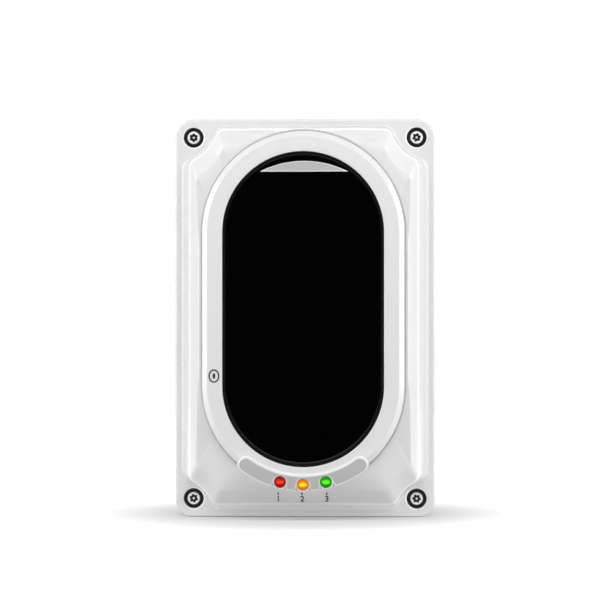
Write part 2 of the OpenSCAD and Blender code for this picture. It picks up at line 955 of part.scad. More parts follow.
module back_box() {
    color(white_plastic)
        stand_up()
            difference() {
                union() {
                    difference() {
                        slab(box_half_w, box_half_h, box_r, 0, box_z);
                        slab(
                            box_half_w - box_wall, box_half_h - box_wall, box_r - box_wall,
                            floor_z, box_z + cut
                        );
                    }
                    at_cover_screws()
                        translate([0, 0, floor_z - fit])
                            cylinder(r = post_r, h = box_z - floor_z + fit);
                    at_standoffs()
                        translate([0, 0, floor_z - fit])
                            cylinder(r = standoff_r, h = standoff_h + fit);
                    at_fixings()
                        translate([0, 0, floor_z - fit])
                            cylinder(r = fixing_pad_r, h = fixing_pad_h + fit);
                }
                at_cover_screws() {
                    translate([0, 0, box_z - insert_h])
                        cylinder(r = insert_r + fit, h = insert_h + cut);
                    translate([0, 0, box_z - insert_h - pilot_h])
                        cylinder(r = screw_shank_r + bore_play, h = pilot_h + cut);
                }
                at_standoffs()
                    translate([0, 0, board_z - small_screw_l])
                        cylinder(r = small_screw_r + fit, h = small_screw_l + cut);
                at_lamp_posts()
                    translate([0, 0, floor_z - lamp_stud_h - fit])
                        cylinder(r = lamp_stud_r + fit, h = lamp_stud_h + fit + cut);
                at_fixings()
                    translate([0, 0, -cut])
                        cylinder(r = fixing_r, h = floor_z + fixing_pad_h + 2 * cut);
                at_entries()
                    translate([0, 0, -cut])
                        cylinder(r = entry_r, h = box_wall + 2 * cut);
            }
}

module threaded_inserts() {
    color(brass)
        stand_up()
            at_cover_screws()
                ring(screw_shank_r + fit, insert_r, box_z - insert_h, box_z);
}

module cable_grommets() {
    outer = entry_r + entry_flange_w;
    neck = entry_r - seal_play;
    hollow = entry_r - entry_hollow_w;
    inside = box_wall + seal_play;
    color(rubber)
        stand_up()
            at_entries()
                rotate_extrude()
                    polygon([
                        [0, -entry_membrane_t],
                        [hollow, -entry_membrane_t],
                        [hollow, -entry_flange_t],
                        [outer, -entry_flange_t],
                        [outer, 0],
                        [neck, 0],
                        [neck, inside],
                        [outer - seal_play, inside],
                        [outer - seal_play, inside + entry_flange_t],
                        [hollow, inside + entry_flange_t],
                        [hollow, 0],
                        [0, 0]
                    ]);
}

// Optics carrier, barrels and lenses

// Outer radius of a barrel at a height
function barrel_r_at(z) =
    let (foot = barrel_back_r + barrel_wall)
    foot + (barrel_outer_r - foot) * (z - barrel_back_z) / (lens_seat_z - barrel_wall - barrel_back_z);

module at_barrel_screws(y) {
    for (turn = [45:90:315])
        translate([0, y])
            rotate(turn)
                translate([barrel_screw_reach, 0])
                    children();
}

module barrel(y) {
    color(black_plastic)
        stand_up()
            difference() {
                translate([0, y]) {
                    rotate_extrude($fn = fine_fn)
                        polygon([
                            [barrel_back_r, barrel_back_z],
                            [barrel_back_r + barrel_wall, barrel_back_z],
                            [barrel_outer_r, lens_seat_z - barrel_wall],
                            [barrel_outer_r, barrel_front_z],
                            [lens_r + ring_play, barrel_front_z],
                            [lens_r + ring_play, lens_seat_z],
                            [lens_r - lens_step, lens_seat_z]
                        ]);
                    ring(
                        barrel_r_at(carrier_top) - barrel_wall * flange_root_share, barrel_flange_r,
                        carrier_top, carrier_top + barrel_flange_t
                    );
                }
                at_barrel_screws(y)
                    translate([0, 0, carrier_top - cut])
                        cylinder(r = small_screw_r + bore_play, h = barrel_flange_t + 2 * cut);
            }
}

module transmitter_barrel() {
    barrel(lens_places[0]);
}

module receiver_barrel() {
    barrel(lens_places[1]);
}

module barrel_screws() {
    color(steel)
        stand_up()
            for (y = lens_places)
                at_barrel_screws(y)
                    small_screw(carrier_top + barrel_flange_t);
}

module lens(y) {
    dome_base_r = lens_r - lens_flat;
    dome_r = (dome_base_r * dome_base_r + lens_rise * lens_rise) / (2 * lens_rise);
    rim_z = lens_seat_z + lens_rim_t;
    color(lens_clear)
        stand_up()
            translate([0, y]) {
                translate([0, 0, lens_seat_z])
                    cylinder(r = lens_r, h = lens_rim_t, $fn = fine_fn);
                intersection() {
                    translate([0, 0, rim_z - fit])
                        cylinder(r = dome_base_r, h = lens_rise + cut, $fn = fine_fn);
                    translate([0, 0, rim_z + lens_rise - dome_r])
                        sphere(dome_r, $fn = fine_fn);
                }
            }
}

module transmitter_lens() {
    lens(lens_places[0]);
}

module receiver_lens() {
    lens(lens_places[1]);
}

module lens_retainers() {
    rim_z = lens_seat_z + lens_rim_t;
    color(grey_plastic)
        stand_up()
            for (y = lens_places)
                translate([0, y])
                    ring(lens_r - lens_flat + ring_play, lens_r, rim_z, rim_z + ring_t);
}

module optics_carrier() {
    lug_half = slot_r + lug_edge;
    lug_end = tilt_y + slot_reach + slot_r + lug_edge;
    lug_start = tilt_y - riser_reach;
    color(grey_plastic)
        stand_up()
            difference() {
                union() {
                    oval(carrier_r, carrier_z, carrier_top);
                    for (side = [-1, 1])
                        translate([side * (carrier_r - ear_w / 2), window_y, axis_z])
                            cube([ear_w, 2 * ear_half, ear_depth], center = true);
                    translate([tilt_x - lug_half, lug_start, carrier_z])
                        cube([2 * lug_half, riser_w, tilt_lug_z + lug_t - carrier_z]);
                    translate([tilt_x - lug_half, lug_start, tilt_lug_z])
                        cube([2 * lug_half, lug_end - lug_start, lug_t]);
                }
                for (y = lens_places) {
                    translate([0, y, carrier_z - cut])
                        cylinder(r = barrel_hole_r, h = carrier_t + 2 * cut, $fn = fine_fn);
                    at_barrel_screws(y)
                        translate([0, 0, carrier_z - cut])
                            cylinder(r = small_screw_r + fit, h = carrier_t + 2 * cut);
                }
                translate([-carrier_r - cut, window_y, axis_z])
                    rotate([0, 90, 0])
                        cylinder(r = pin_r + pin_play, h = 2 * (carrier_r + cut));
                translate([tilt_x, tilt_y, tilt_lug_z - cut])
                    rotate(90)
                        slot(lug_t + 2 * cut);
            }
}

// An oblong slot along x for an adjusting screw
module slot(h) {
    for (end = [-1, 1])
        translate([end * slot_reach, 0])
            cylinder(r = slot_r, h = h);
    translate([-slot_reach, -slot_r])
        cube([2 * slot_reach, 2 * slot_r, h]);
}

// Emitter and receiver electronics

module sensor_board(y) {
    color(board_green)
        stand_up()
            translate([0, y])
                slab(sensor_half, sensor_half, lens_flat, barrel_back_z - board_t, barrel_back_z);
}

module transmitter_board() {
    sensor_board(lens_places[0]);
}

module receiver_board() {
    sensor_board(lens_places[1]);
}

module infrared_emitter() {
    color(lens_clear)
        stand_up()
            translate([0, lens_places[0], barrel_back_z]) {
                cylinder(r = emitter_r + play, h = cut);
                cylinder(r = emitter_r, h = emitter_h - emitter_r);
                translate([0, 0, emitter_h - emitter_r])
                    sphere(emitter_r);
            }
}

module photodiode() {
    color(black_plastic)
        stand_up()
            translate([-diode_w / 2, lens_places[1] - diode_w / 2, barrel_back_z])
                cube([diode_w, diode_w, diode_h]);
}

module receiver_shield() {
    outer = shield_w / 2;
    inner = outer - shield_t;
    top = barrel_back_z - board_t;
    color(steel)
        stand_up()
            translate([0, lens_places[1]])
                difference() {
                    slab(outer, outer, lens_flat, top - shield_h, top);
                    slab(inner, inner, lens_flat - shield_t, top - shield_h + shield_t, top + cut);
                }
}

// Pan frame and its pivots

module pan_frame() {
    outer_w = frame_inner + frame_bar;
    outer_h = frame_half + frame_bar;
    lug_end = pan_arm + slot_reach + slot_r + lug_edge;
    lug_half = slot_r + lug_edge;
    color(grey_plastic)
        stand_up()
            difference() {
                union() {
                    difference() {
                        translate([0, window_y])
                            slab(outer_w, outer_h, frame_r, frame_z, frame_z + frame_depth);
                        translate([0, window_y])
                            slab(
                                frame_inner, frame_half, frame_r - frame_bar,
                                frame_z - cut, frame_z + frame_depth + cut
                            );
                    }
                    for (side = [-1, 1])
                        translate([0, window_y + side * (frame_half + frame_bar), axis_z])
                            rotate([-side * 90, 0, 0])
                                cylinder(r = pivot_boss_r, h = pivot_boss_h);
                    translate([frame_inner + cut, pan_adjuster_y - lug_half, pan_lug_z])
                        cube([lug_end - frame_inner - cut, 2 * lug_half, lug_t]);
                    difference() {
                        translate([-frame_inner - cut, gusset_y, tilt_plate_z])
                            cube([gusset_w + cut, window_y + frame_half + cut - gusset_y, plate_t]);
                        translate([0, lens_places[0], tilt_plate_z - cut])
                            cylinder(r = carrier_r + gusset_edge, h = plate_t + 2 * cut, $fn = fine_fn);
                    }
                }
                translate([0, frame_bottom - cut, axis_z])
                    rotate([-90, 0, 0])
                        cylinder(r = pin_r + pin_play, h = frame_bar + 2 * cut + pivot_boss_h);
                translate([0, frame_top - frame_bar - cut, axis_z])
                    rotate([-90, 0, 0])
                        cylinder(r = pin_r + pin_play, h = frame_bar + 2 * cut + pivot_boss_h);
                translate([-outer_w - cut, window_y, axis_z])
                    rotate([0, 90, 0])
                        cylinder(r = pin_r + fit, h = 2 * (outer_w + cut));
                translate([pan_arm, pan_adjuster_y, pan_lug_z - cut])
                    slot(lug_t + 2 * cut);
                translate([tilt_x, tilt_y, tilt_plate_z - cut])
                    cylinder(r = adjuster_r + pin_play, h = plate_t + 2 * cut);
            }
}

module tilt_pins() {
    inner = carrier_r - ear_w + pin_inset;
    color(steel)
        stand_up()
            for (side = [-1, 1])
                translate([side * inner, window_y, axis_z])
                    rotate([0, side * 90, 0])
                        cylinder(r = pin_r, h = frame_inner + frame_bar - inner);
}

// One bracket, drawn with its arm's outer face on y = 0 and its foot towards -y
module pivot_bracket() {
    difference() {
        union() {
            translate([-arm_half, -arm_t, board_z])
                cube([2 * arm_half, arm_t, axis_z + arm_rise - board_z]);
            translate([-arm_half, -foot_l, board_z])
                cube([2 * arm_half, foot_l, foot_t]);
        }
        translate([0, cut, axis_z])
            rotate([90, 0, 0])
                cylinder(r = pin_r + fit, h = arm_t + 2 * cut);
        for (side = [-1, 1])
            translate([side * foot_screw_x, foot_screw_inset - foot_l, board_z - cut])
                cylinder(r = small_screw_r + bore_play, h = foot_t + 2 * cut);
    }
}

module upper_pivot_bracket() {
    color(steel)
        stand_up()
            translate([0, upper_arm_y])
                pivot_bracket();
}

module lower_pivot_bracket() {
    color(steel)
        stand_up()
            translate([0, lower_arm_y])
                mirror([0, 1, 0])
                    pivot_bracket();
}

module pan_pin() {
    translate([0, 0, -(frame_bar + pivot_boss_h + play + arm_t - pin_inset)])
        cylinder(r = pin_r, h = frame_bar + pivot_boss_h + play + arm_t - pin_inset + fit);
    cylinder(r = pin_head_r, h = pin_head_t);
}

module pan_pins() {
    color(steel)
        stand_up() {
            translate([0, upper_arm_y, axis_z])
                rotate([-90, 0, 0])
                    pan_pin();
            translate([0, lower_arm_y, axis_z])
                rotate([90, 0, 0])
                    pan_pin();
        }
}

module bracket_screws() {
    color(steel)
        stand_up()
            at_bracket_screws()
                small_screw(board_z + foot_t);
}

// Adjusters

module pan_adjuster_bracket() {
    right = bracket_x + bracket_t;
    left = pan_arm - bearing_left;
    color(steel)
        stand_up()
            difference() {
                union() {
                    translate([left, pan_adjuster_y - bearing_half, pan_plate_z])
                        cube([right - left, 2 * bearing_half, plate_t]);
                    translate([bracket_x, pan_adjuster_y - bearing_half, board_z])
                        cube([bracket_t, 2 * bearing_half, pan_plate_z + plate_t - board_z]);
                    translate([pan_arm - standoff_r, pan_adjuster_y - bracket_half, board_z])
                        cube([right - pan_arm + standoff_r, 2 * bracket_half, foot_t]);
                }
                translate([pan_arm, pan_adjuster_y, pan_plate_z - cut])
                    cylinder(r = adjuster_r + pin_play, h = plate_t + 2 * cut);
                for (side = [-1, 1])
                    translate([pan_arm, pan_adjuster_y + side * bracket_screw_y, board_z - cut])
                        cylinder(r = small_screw_r + bore_play, h = foot_t + 2 * cut);
            }
}

// A screw held by two collars in its bearing plate, with a thumbwheel's bore round its front end
module adjusting_screw(x, y, bearing_z, wheel_z) {
    tail_z = bearing_z - play - collar_t - screw_tail;
    color(steel)
        stand_up()
            translate([x, y]) {
                translate([0, 0, tail_z])
                    cylinder(r = adjuster_r, h = wheel_z + wheel_t - tail_z);
                for (z = [bearing_z - play - collar_t, bearing_z + plate_t + play])
                    translate([0, 0, z])
                        cylinder(r = collar_r, h = collar_t);
            }
}

module thumbwheel(x, y, z) {
    color(black_plastic)
        stand_up()
            translate([x, y, z])
                difference() {
                    cylinder(r = wheel_r, h = wheel_t);
                    translate([0, 0, -cut])
                        cylinder(r = adjuster_r + fit, h = wheel_t + 2 * cut);
                    for (i = [1:wheel_grooves])
                        rotate(i * 360 / wheel_grooves)
                            translate([wheel_r, 0, -cut])
                                cylinder(r = wheel_groove_r, h = wheel_t + 2 * cut, $fn = 16);
                }
}

module pan_thumbwheel() {
    thumbwheel(pan_arm, pan_adjuster_y, pan_wheel_z);
}

module pan_adjusting_screw() {
    adjusting_screw(pan_arm, pan_adjuster_y, pan_plate_z, pan_wheel_z);
}

module tilt_thumbwheel() {
    thumbwheel(tilt_x, tilt_y, tilt_wheel_z);
}

module tilt_adjusting_screw() {
    adjusting_screw(tilt_x, tilt_y, tilt_plate_z, tilt_wheel_z);
}

// Main board and what stands on it

module main_board() {
    color(board_green)
        stand_up()
            difference() {
                translate([-board_half_w, -board_bottom, board_z])
                    cube([2 * board_half_w, board_top + board_bottom, board_t]);
                translate([notch_x, pan_adjuster_y - notch_half, board_z - cut])
                    cube([board_half_w, 2 * notch_half, board_t + 2 * cut]);
                at_board_screws()
                    translate([0, 0, board_z - cut])
                        cylinder(r = small_screw_r + bore_play, h = board_t + 2 * cut);
            }
}

module board_screws() {
    color(steel)
        stand_up()
            at_board_screws()
                small_screw(board_face);
}

// Its child at every pole of the two terminal blocks, with +x towards the box's side wall
module at_poles() {
    for (i = [0:terminals_long - 1])
        translate([-terminal_x, terminal_long_y + (i - (terminals_long - 1) / 2) * terminal_pitch])
            rotate(180)
                children();
    for (i = [0:terminals_short - 1])
        translate([terminal_x, terminal_short_y + (i - (terminals_short - 1) / 2) * terminal_pitch])
            children();
}

module terminal_block(x, y, count) {
    translate([x - terminal_w / 2, y - count * terminal_pitch / 2, board_face])
        cube([terminal_w, count * terminal_pitch, terminal_h]);
}

module terminal_blocks() {
    color(board_green)
        stand_up()
            difference() {
                union() {
                    terminal_block(-terminal_x, terminal_long_y, terminals_long);
                    terminal_block(terminal_x, terminal_short_y, terminals_short);
                }
                at_poles() {
                    translate([0, 0, board_face + terminal_floor + terminal_wire_w])
                        cylinder(r = terminal_hole_r, h = terminal_h);
                    translate([0, -terminal_wire_w / 2, board_face + terminal_floor])
                        cube([terminal_w, terminal_wire_w, terminal_wire_w]);
                }
            }
}

module terminal_screws() {
    color(steel)
        stand_up()
            at_poles()
                difference() {
                    translate([0, 0, board_face + terminal_floor + terminal_wire_w])
                        cylinder(r = terminal_screw_r, h = terminal_wire_w);
                    translate([-terminal_screw_r, -small_slot_w / 2, board_face + terminal_floor + 2 * terminal_wire_w - cut])
                        cube([2 * terminal_screw_r, small_slot_w, 2 * cut]);
                }
}

module relays() {
    color(white_plastic)
        stand_up()
            for (side = [-1, 1])
                translate([side * relay_x - relay_size[0] / 2, window_y - relay_size[1] / 2, board_face])
                    cube(relay_size);
}

module capacitors() {
    color(black_plastic)
        stand_up()
            for (side = [-1, 1])
                for (y = capacitor_rows)
                    translate([side * capacitor_x, y, board_face])
                        cylinder(r = capacitor_r, h = capacitor_h);
}

module processor() {
    color(black_plastic)
        stand_up()
            translate([processor_place[0], processor_place[1], board_face])
                translate([-processor_size[0] / 2, -processor_size[1] / 2])
                    cube(processor_size);
}

module driver_chips() {
    color(black_plastic)
        stand_up()
            for (place = chip_places)
                translate([place[0], place[1], board_face]) {
                    translate([-chip_size[0] / 2, -chip_size[1] / 2])
                        cube(chip_size);
                    for (side = [-1, 1])
                        for (i = [0:chip_pins - 1])
                            translate([
                                side * (chip_size[0] + pin_size[1]) / 2 - pin_size[1] / 2,
                                (i + 0.5) * chip_size[1] / chip_pins - chip_size[1] / 2 - pin_size[0] / 2
                            ])
                                cube([pin_size[1], pin_size[0], pin_size[2]]);
                }
}

module mode_switch() {
    slot_half_y = knob_w / 2 + switch_travel + play;
    color(black_plastic)
        stand_up()
            translate([-terminal_x, switch_y, board_face])
                difference() {
                    translate([-switch_size[0] / 2, -switch_size[1] / 2])
                        cube(switch_size);
                    translate([-knob_w / 2 - play, -slot_half_y, switch_wall])
                        cube([knob_w + 2 * play, 2 * slot_half_y, switch_size[2]]);
                }
}

module mode_switch_slider() {
    color(white_plastic)
        stand_up()
            translate([-terminal_x, switch_y - switch_travel / 2, board_face + switch_wall + play / 2])
                translate([-knob_w / 2, -knob_w / 2])
                    cube([knob_w, knob_w, switch_size[2] - switch_wall + knob_h]);
}

// Indicator board and the posts that carry it

module indicator_posts() {
    color(steel)
        stand_up()
            at_lamp_posts()
                difference() {
                    union() {
                        translate([0, 0, floor_z])
                            cylinder(r = lamp_post_r, h = lamp_board_z - floor_z, $fn = 6);
                        translate([0, 0, floor_z - lamp_stud_h])
                            cylinder(r = lamp_stud_r, h = lamp_stud_h + fit);
                    }
                    translate([0, 0, lamp_board_z - small_screw_l])
                        cylinder(r = small_screw_r + fit, h = small_screw_l + cut);
                }
}

module indicator_board() {
    color(board_green)
        stand_up()
            difference() {
                translate([-lamp_board_half[0], lamp_board_y - lamp_board_half[1], lamp_board_z])
                    cube([2 * lamp_board_half[0], 2 * lamp_board_half[1], board_t]);
                at_lamp_posts()
                    translate([0, 0, lamp_board_z - cut])
                        cylinder(r = small_screw_r + bore_play, h = board_t + 2 * cut);
            }
}

module indicator_board_screws() {
    color(steel)
        stand_up()
            at_lamp_posts()
                small_screw(lamp_board_z + board_t);
}

module indicator_lamps() {
    color(lamp_white)
        stand_up()
            at_pipes()
                translate([0, 0, lamp_board_z + board_t]) {
                    cylinder(r = lamp_r, h = lamp_h - lamp_r);
                    translate([0, 0, lamp_h - lamp_r])
                        sphere(lamp_r);
                }
}

back_box();
threaded_inserts();
cable_grommets();
main_board();
board_screws();
terminal_blocks();
terminal_screws();
relays();
capacitors();
processor();
driver_chips();
mode_switch();
mode_switch_slider();
upper_pivot_bracket();
lower_pivot_bracket();
bracket_screws();
pan_pins();
pan_adjuster_bracket();
indicator_posts();
indicator_board();
indicator_board_screws();
indicator_lamps();
pan_frame();
tilt_pins();
optics_carrier();
transmitter_barrel();
receiver_barrel();
barrel_screws();
transmitter_lens();
receiver_lens();
lens_retainers();
transmitter_board();
receiver_board();
infrared_emitter();
photodiode();
receiver_shield();
pan_thumbwheel();
pan_adjusting_screw();
tilt_thumbwheel();
tilt_adjusting_screw();
front_cover();
cover_seal();
window_surround();
window();
window_seal();
window_retainer();
retainer_screws();
indicator_panel();
fire_indicator();
fault_indicator();
alignment_indicator();
cover_screws();
screw_seals();
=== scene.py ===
import math

import bmesh
import bpy
import numpy as np
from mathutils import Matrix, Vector


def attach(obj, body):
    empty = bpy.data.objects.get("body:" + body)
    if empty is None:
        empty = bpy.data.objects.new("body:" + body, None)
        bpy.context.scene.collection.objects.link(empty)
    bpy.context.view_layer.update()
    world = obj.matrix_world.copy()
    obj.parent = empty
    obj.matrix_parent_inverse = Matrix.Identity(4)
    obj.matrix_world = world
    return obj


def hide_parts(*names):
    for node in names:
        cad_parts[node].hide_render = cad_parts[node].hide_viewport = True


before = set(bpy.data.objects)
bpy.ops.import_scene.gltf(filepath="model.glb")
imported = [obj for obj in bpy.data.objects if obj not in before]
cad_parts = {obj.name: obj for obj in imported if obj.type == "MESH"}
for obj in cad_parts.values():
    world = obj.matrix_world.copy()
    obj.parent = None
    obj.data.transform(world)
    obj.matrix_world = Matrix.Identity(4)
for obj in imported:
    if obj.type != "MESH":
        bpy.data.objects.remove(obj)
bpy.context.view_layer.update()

# Camera
# A long lens stands 1.5 m in front of the flange and a little to the right, so that the flange shows at two pixels
# to the millimetre.
camera_place, camera_target = Vector((0.043, -1.558, 0.009)), Vector((-0.0025, -0.058, 0.009))


def in_scene(name, data):
    """A new object for the data, in the scene"""
    made = bpy.data.objects.new(name, data)
    bpy.context.scene.collection.objects.link(made)
    return made


def stand(it, place, target):
    """Puts the camera or a lamp in its place and turns it to its target"""
    it.location = place
    it.rotation_euler = (Vector(target) - Vector(place)).to_track_quat("-Z", "Y").to_euler()


camera = in_scene("camera", bpy.data.cameras.new("camera"))
camera.data.sensor_width, camera.data.lens = 36, 180
stand(camera, camera_place, camera_target)
bpy.context.scene.camera = camera
bpy.context.scene.view_settings.view_transform = "Standard"

# Studio
# A white floor, a white surround behind the part and a dark room behind the camera. Soft lamps stand above, behind, in
# front and at each side, and a narrow one lies on the floor under the cover's lower edge.
floor_level, floor_glow, room_glow, dark_room, dark_until, light_from = -0.0995, 0.12, 0.36, 0.015, -0.5, 0.1
foot_y, foot_reach, glow_reach, paper_reach, paper_at_foot, paper_beyond = -0.045, 0.05, 0.2, 0.16, 0.66, 0.74
cover_middle, box_middle = (0, -0.06, 0), (0, 0, 0)
white = (1, 1, 1, 1)


def lamp(name, place, target, width, height, power):
    it = in_scene(name, bpy.data.lights.new(name, "AREA"))
    it.data.shape = "RECTANGLE"
    it.data.size, it.data.size_y, it.data.energy = width, height, power
    stand(it, place, target)
    return it


lamp("lamp_above", (0, -0.52, 0.63), cover_middle, 1.4, 0.45, 2.3)
lamp("lamp_top_edge", (0, -0.45, 0.32), cover_middle, 0.6, 0.2, 0.6)
lamp("lamp_left", (-0.83, -0.27, 0.11), cover_middle, 0.55, 0.8, 4.2)
lamp("lamp_right", (0.83, -0.27, 0.11), cover_middle, 0.55, 0.8, 4.5)
lamp("lamp_behind", (0, 1.3, 0.35), box_middle, 1.3, 0.8, 6.0)
lamp_front = lamp("lamp_front", (0, -1.9, 0.1), cover_middle, 1.4, 0.8, 0.4)
lamp_floor = lamp("lamp_floor", (0, -0.063, -0.0991), (0, -0.063, 1.0), 0.125, 0.026, 0.0040)
lamp_front.visible_glossy = lamp_floor.visible_glossy = lamp_floor.visible_camera = False


def socket_of(sockets, label):
    """A socket by its name or its number, the first if the label is empty"""
    label = str(label or 0)
    return sockets[int(label)] if label.isdigit() else sockets[label]


def furnish(tree, **nodes):
    """Adds named nodes; each has its kind, then its operation, its group and the values of its inputs, if any"""
    for name, (kind, *settings) in nodes.items():
        made = tree.nodes.new(kind if kind.startswith(("Node", "Geometry", "Function")) else "ShaderNode" + kind)
        made.name = name
        for setting in settings:
            if isinstance(setting, dict):
                for label, value in setting.items():
                    socket_of(made.inputs, label).default_value = value
            elif isinstance(setting, str):
                choices = ("operation", "interpolation_type", "data_type", "bands_direction", "distance")
                setattr(made, next(choice for choice in choices if hasattr(made, choice)), setting)
            else:
                made.node_tree = setting


def wire(tree, *chains):
    """Links nodes in chains: 'place.Object > fade[Value] > glow[1]' names outputs after dots and inputs in brackets"""
    for chain in chains:
        source = None
        for step in chain.split(" > "):
            name, _, output = step.partition(".")
            name, _, entry = name.rstrip("]").partition("[")
            node = tree.nodes["Principled BSDF" if name == "shader" else name]
            if source:
                tree.links.new(source, socket_of(node.inputs, entry))
            source = socket_of(node.outputs, output) if len(node.outputs) else None


def span(low, high, to_low=0.0, to_high=1.0, *settings):
    """The settings of a node that carries one range of values over to another"""
    return ("MapRange", {"From Min": low, "From Max": high, "To Min": to_low, "To Max": to_high}, *settings)


world = bpy.data.worlds.new("room")
bpy.context.scene.world = world
world.use_nodes = True
world.node_tree.nodes["Background"].inputs["Color"].default_value = white
furnish(
    world.node_tree, rays=("LightPath",), direction=("TexCoord",), parts=("SeparateXYZ",),
    behind=span(dark_until, light_from, dark_room, 1), glossy=("Math", "MULTIPLY"), seen=("Math", "MAXIMUM"),
    through=("Math", "MAXIMUM"), shown=("Math", "MAXIMUM"), level=("Mix", "FLOAT", {"A": room_glow}),
)
wire(
    world.node_tree, "direction.Generated > parts.Y > behind > glossy[1]", "rays.Is Camera Ray > seen > through",
    "rays.Is Transmission Ray > seen[1]", "rays.Is Glossy Ray > through[1]", "through > level[Factor]",
    "rays.Is Glossy Ray > glossy > shown[1]", "seen > shown > level[B]", "level.Result > Background[Strength]",
)

floor_mesh = bpy.data.meshes.new("floor")
floor_mesh.from_pydata(
    [(x, y, floor_level) for x, y in ((-1.2, -0.55), (1.2, -0.55), (1.2, 1.2), (-1.2, 1.2))], [], [(0, 1, 2, 3)]
)
floor = in_scene("floor", floor_mesh)
# The floor's paper is painted darker near the cover's foot than beyond, as painted shade round the part; its glow, seen
# only by the camera and in reflections, fades out towards the foot, which darkens the floor there as well.
floor_paper = bpy.data.materials.new("floor_paper")
floor_paper.use_nodes = True
floor_paper.node_tree.nodes.clear()
furnish(
    floor_paper.node_tree, rays=("LightPath",), seen=("Math", "MAXIMUM"), through=("Math", "MAXIMUM"),
    glow=("Math", "MULTIPLY"), place=("TexCoord",), from_foot=("Mapping", {"Location": (0, -foot_y, -floor_level)}),
    how_far=("VectorMath", "LENGTH"), glow_rise=span(foot_reach, glow_reach, floor_glow, 1, "SMOOTHSTEP"),
    paper_tone=span(foot_reach, paper_reach, paper_at_foot, paper_beyond), paper=("BsdfDiffuse",),
    emission=("Emission", {"Color": white}), both=("AddShader",), facing=("NewGeometry",),
    clear=("BsdfTransparent",), either=("MixShader",), out=("OutputMaterial",),
)
wire(
    floor_paper.node_tree, "place.Object > from_foot > how_far.Value > glow_rise > glow[1]",
    "rays.Is Camera Ray > seen > through > glow > emission[Strength] > both > either[1]",
    "rays.Is Transmission Ray > seen[1]", "rays.Is Glossy Ray > through[1]",
    "how_far.Value > paper_tone > paper > both[1]", "facing.Backfacing > either > out", "clear > either[2]",
)
floor_mesh.materials.append(floor_paper)

# Back box
# The part that stays on the wall: one deep moulding in white ABS, with posts for the boards and the brackets on its
# floor, lugs for the cover's screws in its corners and two round holes for the cables in its lower end.
mm = 0.001


def effect(name, inputs, outputs):
    """An empty shader node group; its inputs are given by their plain values, its outputs by their kinds"""
    made = bpy.data.node_groups.new(name, "ShaderNodeTree")
    for label, value in inputs.items():
        kind = {3: "Vector", 4: "Color"}[len(value)] if isinstance(value, tuple) else "Float"
        made.interface.new_socket(label, in_out="INPUT", socket_type="NodeSocket" + kind).default_value = value
    for label, kind in outputs.items():
        made.interface.new_socket(label, in_out="OUTPUT", socket_type="NodeSocket" + kind)
    furnish(made, given=("NodeGroupInput",), result=("NodeGroupOutput",))
    return made


moulded_grain = effect("moulded_grain", {"Size": 1500.0, "Waviness": 0.15}, {"Height": "Float"})
furnish(
    moulded_grain, place=("TexCoord",), fine=("TexNoise", {"Detail": 3.0, "Roughness": 0.6}),
    wide=("TexNoise", {"Scale": 38.0, "Detail": 1.0}), waves=("Math", "MULTIPLY"), total=("Math", "ADD"),
)
wire(
    moulded_grain, "place.Object > fine > total > result[Height]", "given.Size > fine[Scale]",
    "place.Object > wide > waves > total[1]", "given.Waviness > waves[1]",
)
handled_tone = effect(
    "handled_tone",
    {"Colour": (0.8, 0.8, 0.8, 1), "Shade": (0.7, 0.7, 0.7, 1), "Patch size": 22.0, "Roughness low": 0.25,
     "Roughness high": 0.35},
    {"Colour": "Color", "Roughness": "Float"},
)
furnish(
    handled_tone, place=("TexCoord",), patches=("TexNoise", {"Detail": 4.0, "Roughness": 0.55}), mix=("Mix", "RGBA"),
    smears=("TexNoise", {"Scale": 95.0, "Detail": 2.0, "Distortion": 0.6}), spread=span(0.3, 0.7),
)
wire(
    handled_tone, "place.Object > patches > mix.2 > result[Colour]", "given.Patch size > patches[Scale]",
    "given.Colour > mix[6]", "given.Shade > mix[7]", "place.Object > smears > spread > result[Roughness]",
    "given.Roughness low > spread[To Min]", "given.Roughness high > spread[To Max]",
)


def material_of(name, **plain):
    """A new material; plain holds sockets of its shader that are the same all over"""
    made = bpy.data.materials.new(name)
    made.use_nodes = True
    for label, value in plain.items():
        made.node_tree.nodes["Principled BSDF"].inputs[label.replace("_", " ")].default_value = value
    return made


def toned(colour, shade, patch_size, low, high):
    """The settings of a node for an uneven tone and roughness"""
    return ("Group", handled_tone, {
        "Colour": (*colour, 1), "Shade": (*shade, 1), "Patch size": patch_size, "Roughness low": low,
        "Roughness high": high,
    })


def finish_of(name, colour, shade, roughness, grain_size=1500.0, grain_height=0.00001, waviness=0.15,
              patch_size=22.0, metallic=0.0, coat=0.0, **plain):
    """A material of uneven tone and moulded grain"""
    made = material_of(name, Metallic=metallic, Coat_Weight=coat, **plain)
    furnish(
        made.node_tree, tone=toned(colour, shade, patch_size, *roughness),
        grain=("Group", moulded_grain, {"Size": grain_size, "Waviness": waviness}),
        bump=("Bump", {"Strength": 1.0, "Distance": grain_height}),
    )
    wire(
        made.node_tree, "tone.Colour > shader[Base Color]", "tone.Roughness > shader[Roughness]",
        "grain > bump[Height]", "bump > shader[Normal]",
    )
    return made


white_abs = finish_of(
    "white_abs", (0.79, 0.79, 0.785), (0.765, 0.765, 0.765), (0.2, 0.27), grain_size=2600.0, grain_height=0.000004,
    waviness=2.5, coat=0.25, Coat_Roughness=0.08,
)


def smooth(data, angle=35):
    """Shades the mesh smooth, but for the edges that are sharper than the angle"""
    data.polygons.foreach_set("use_smooth", [True] * len(data.polygons))
    data.set_sharp_from_angle(angle=math.radians(angle))


def baked(obj):
    """Applies the object's modifiers to its mesh"""
    bpy.context.view_layer.update()
    data = bpy.data.meshes.new_from_object(obj.evaluated_get(bpy.context.evaluated_depsgraph_get()))
    obj.modifiers.clear()
    old, obj.data = obj.data, data
    data.name = obj.name
    bpy.data.meshes.remove(old)
    return obj


def placed(piece, node, body):
    """Hides the CAD node that the piece takes the place of, and hangs the piece on the body that it rides on"""
    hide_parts(node)
    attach(piece, body)
    return piece


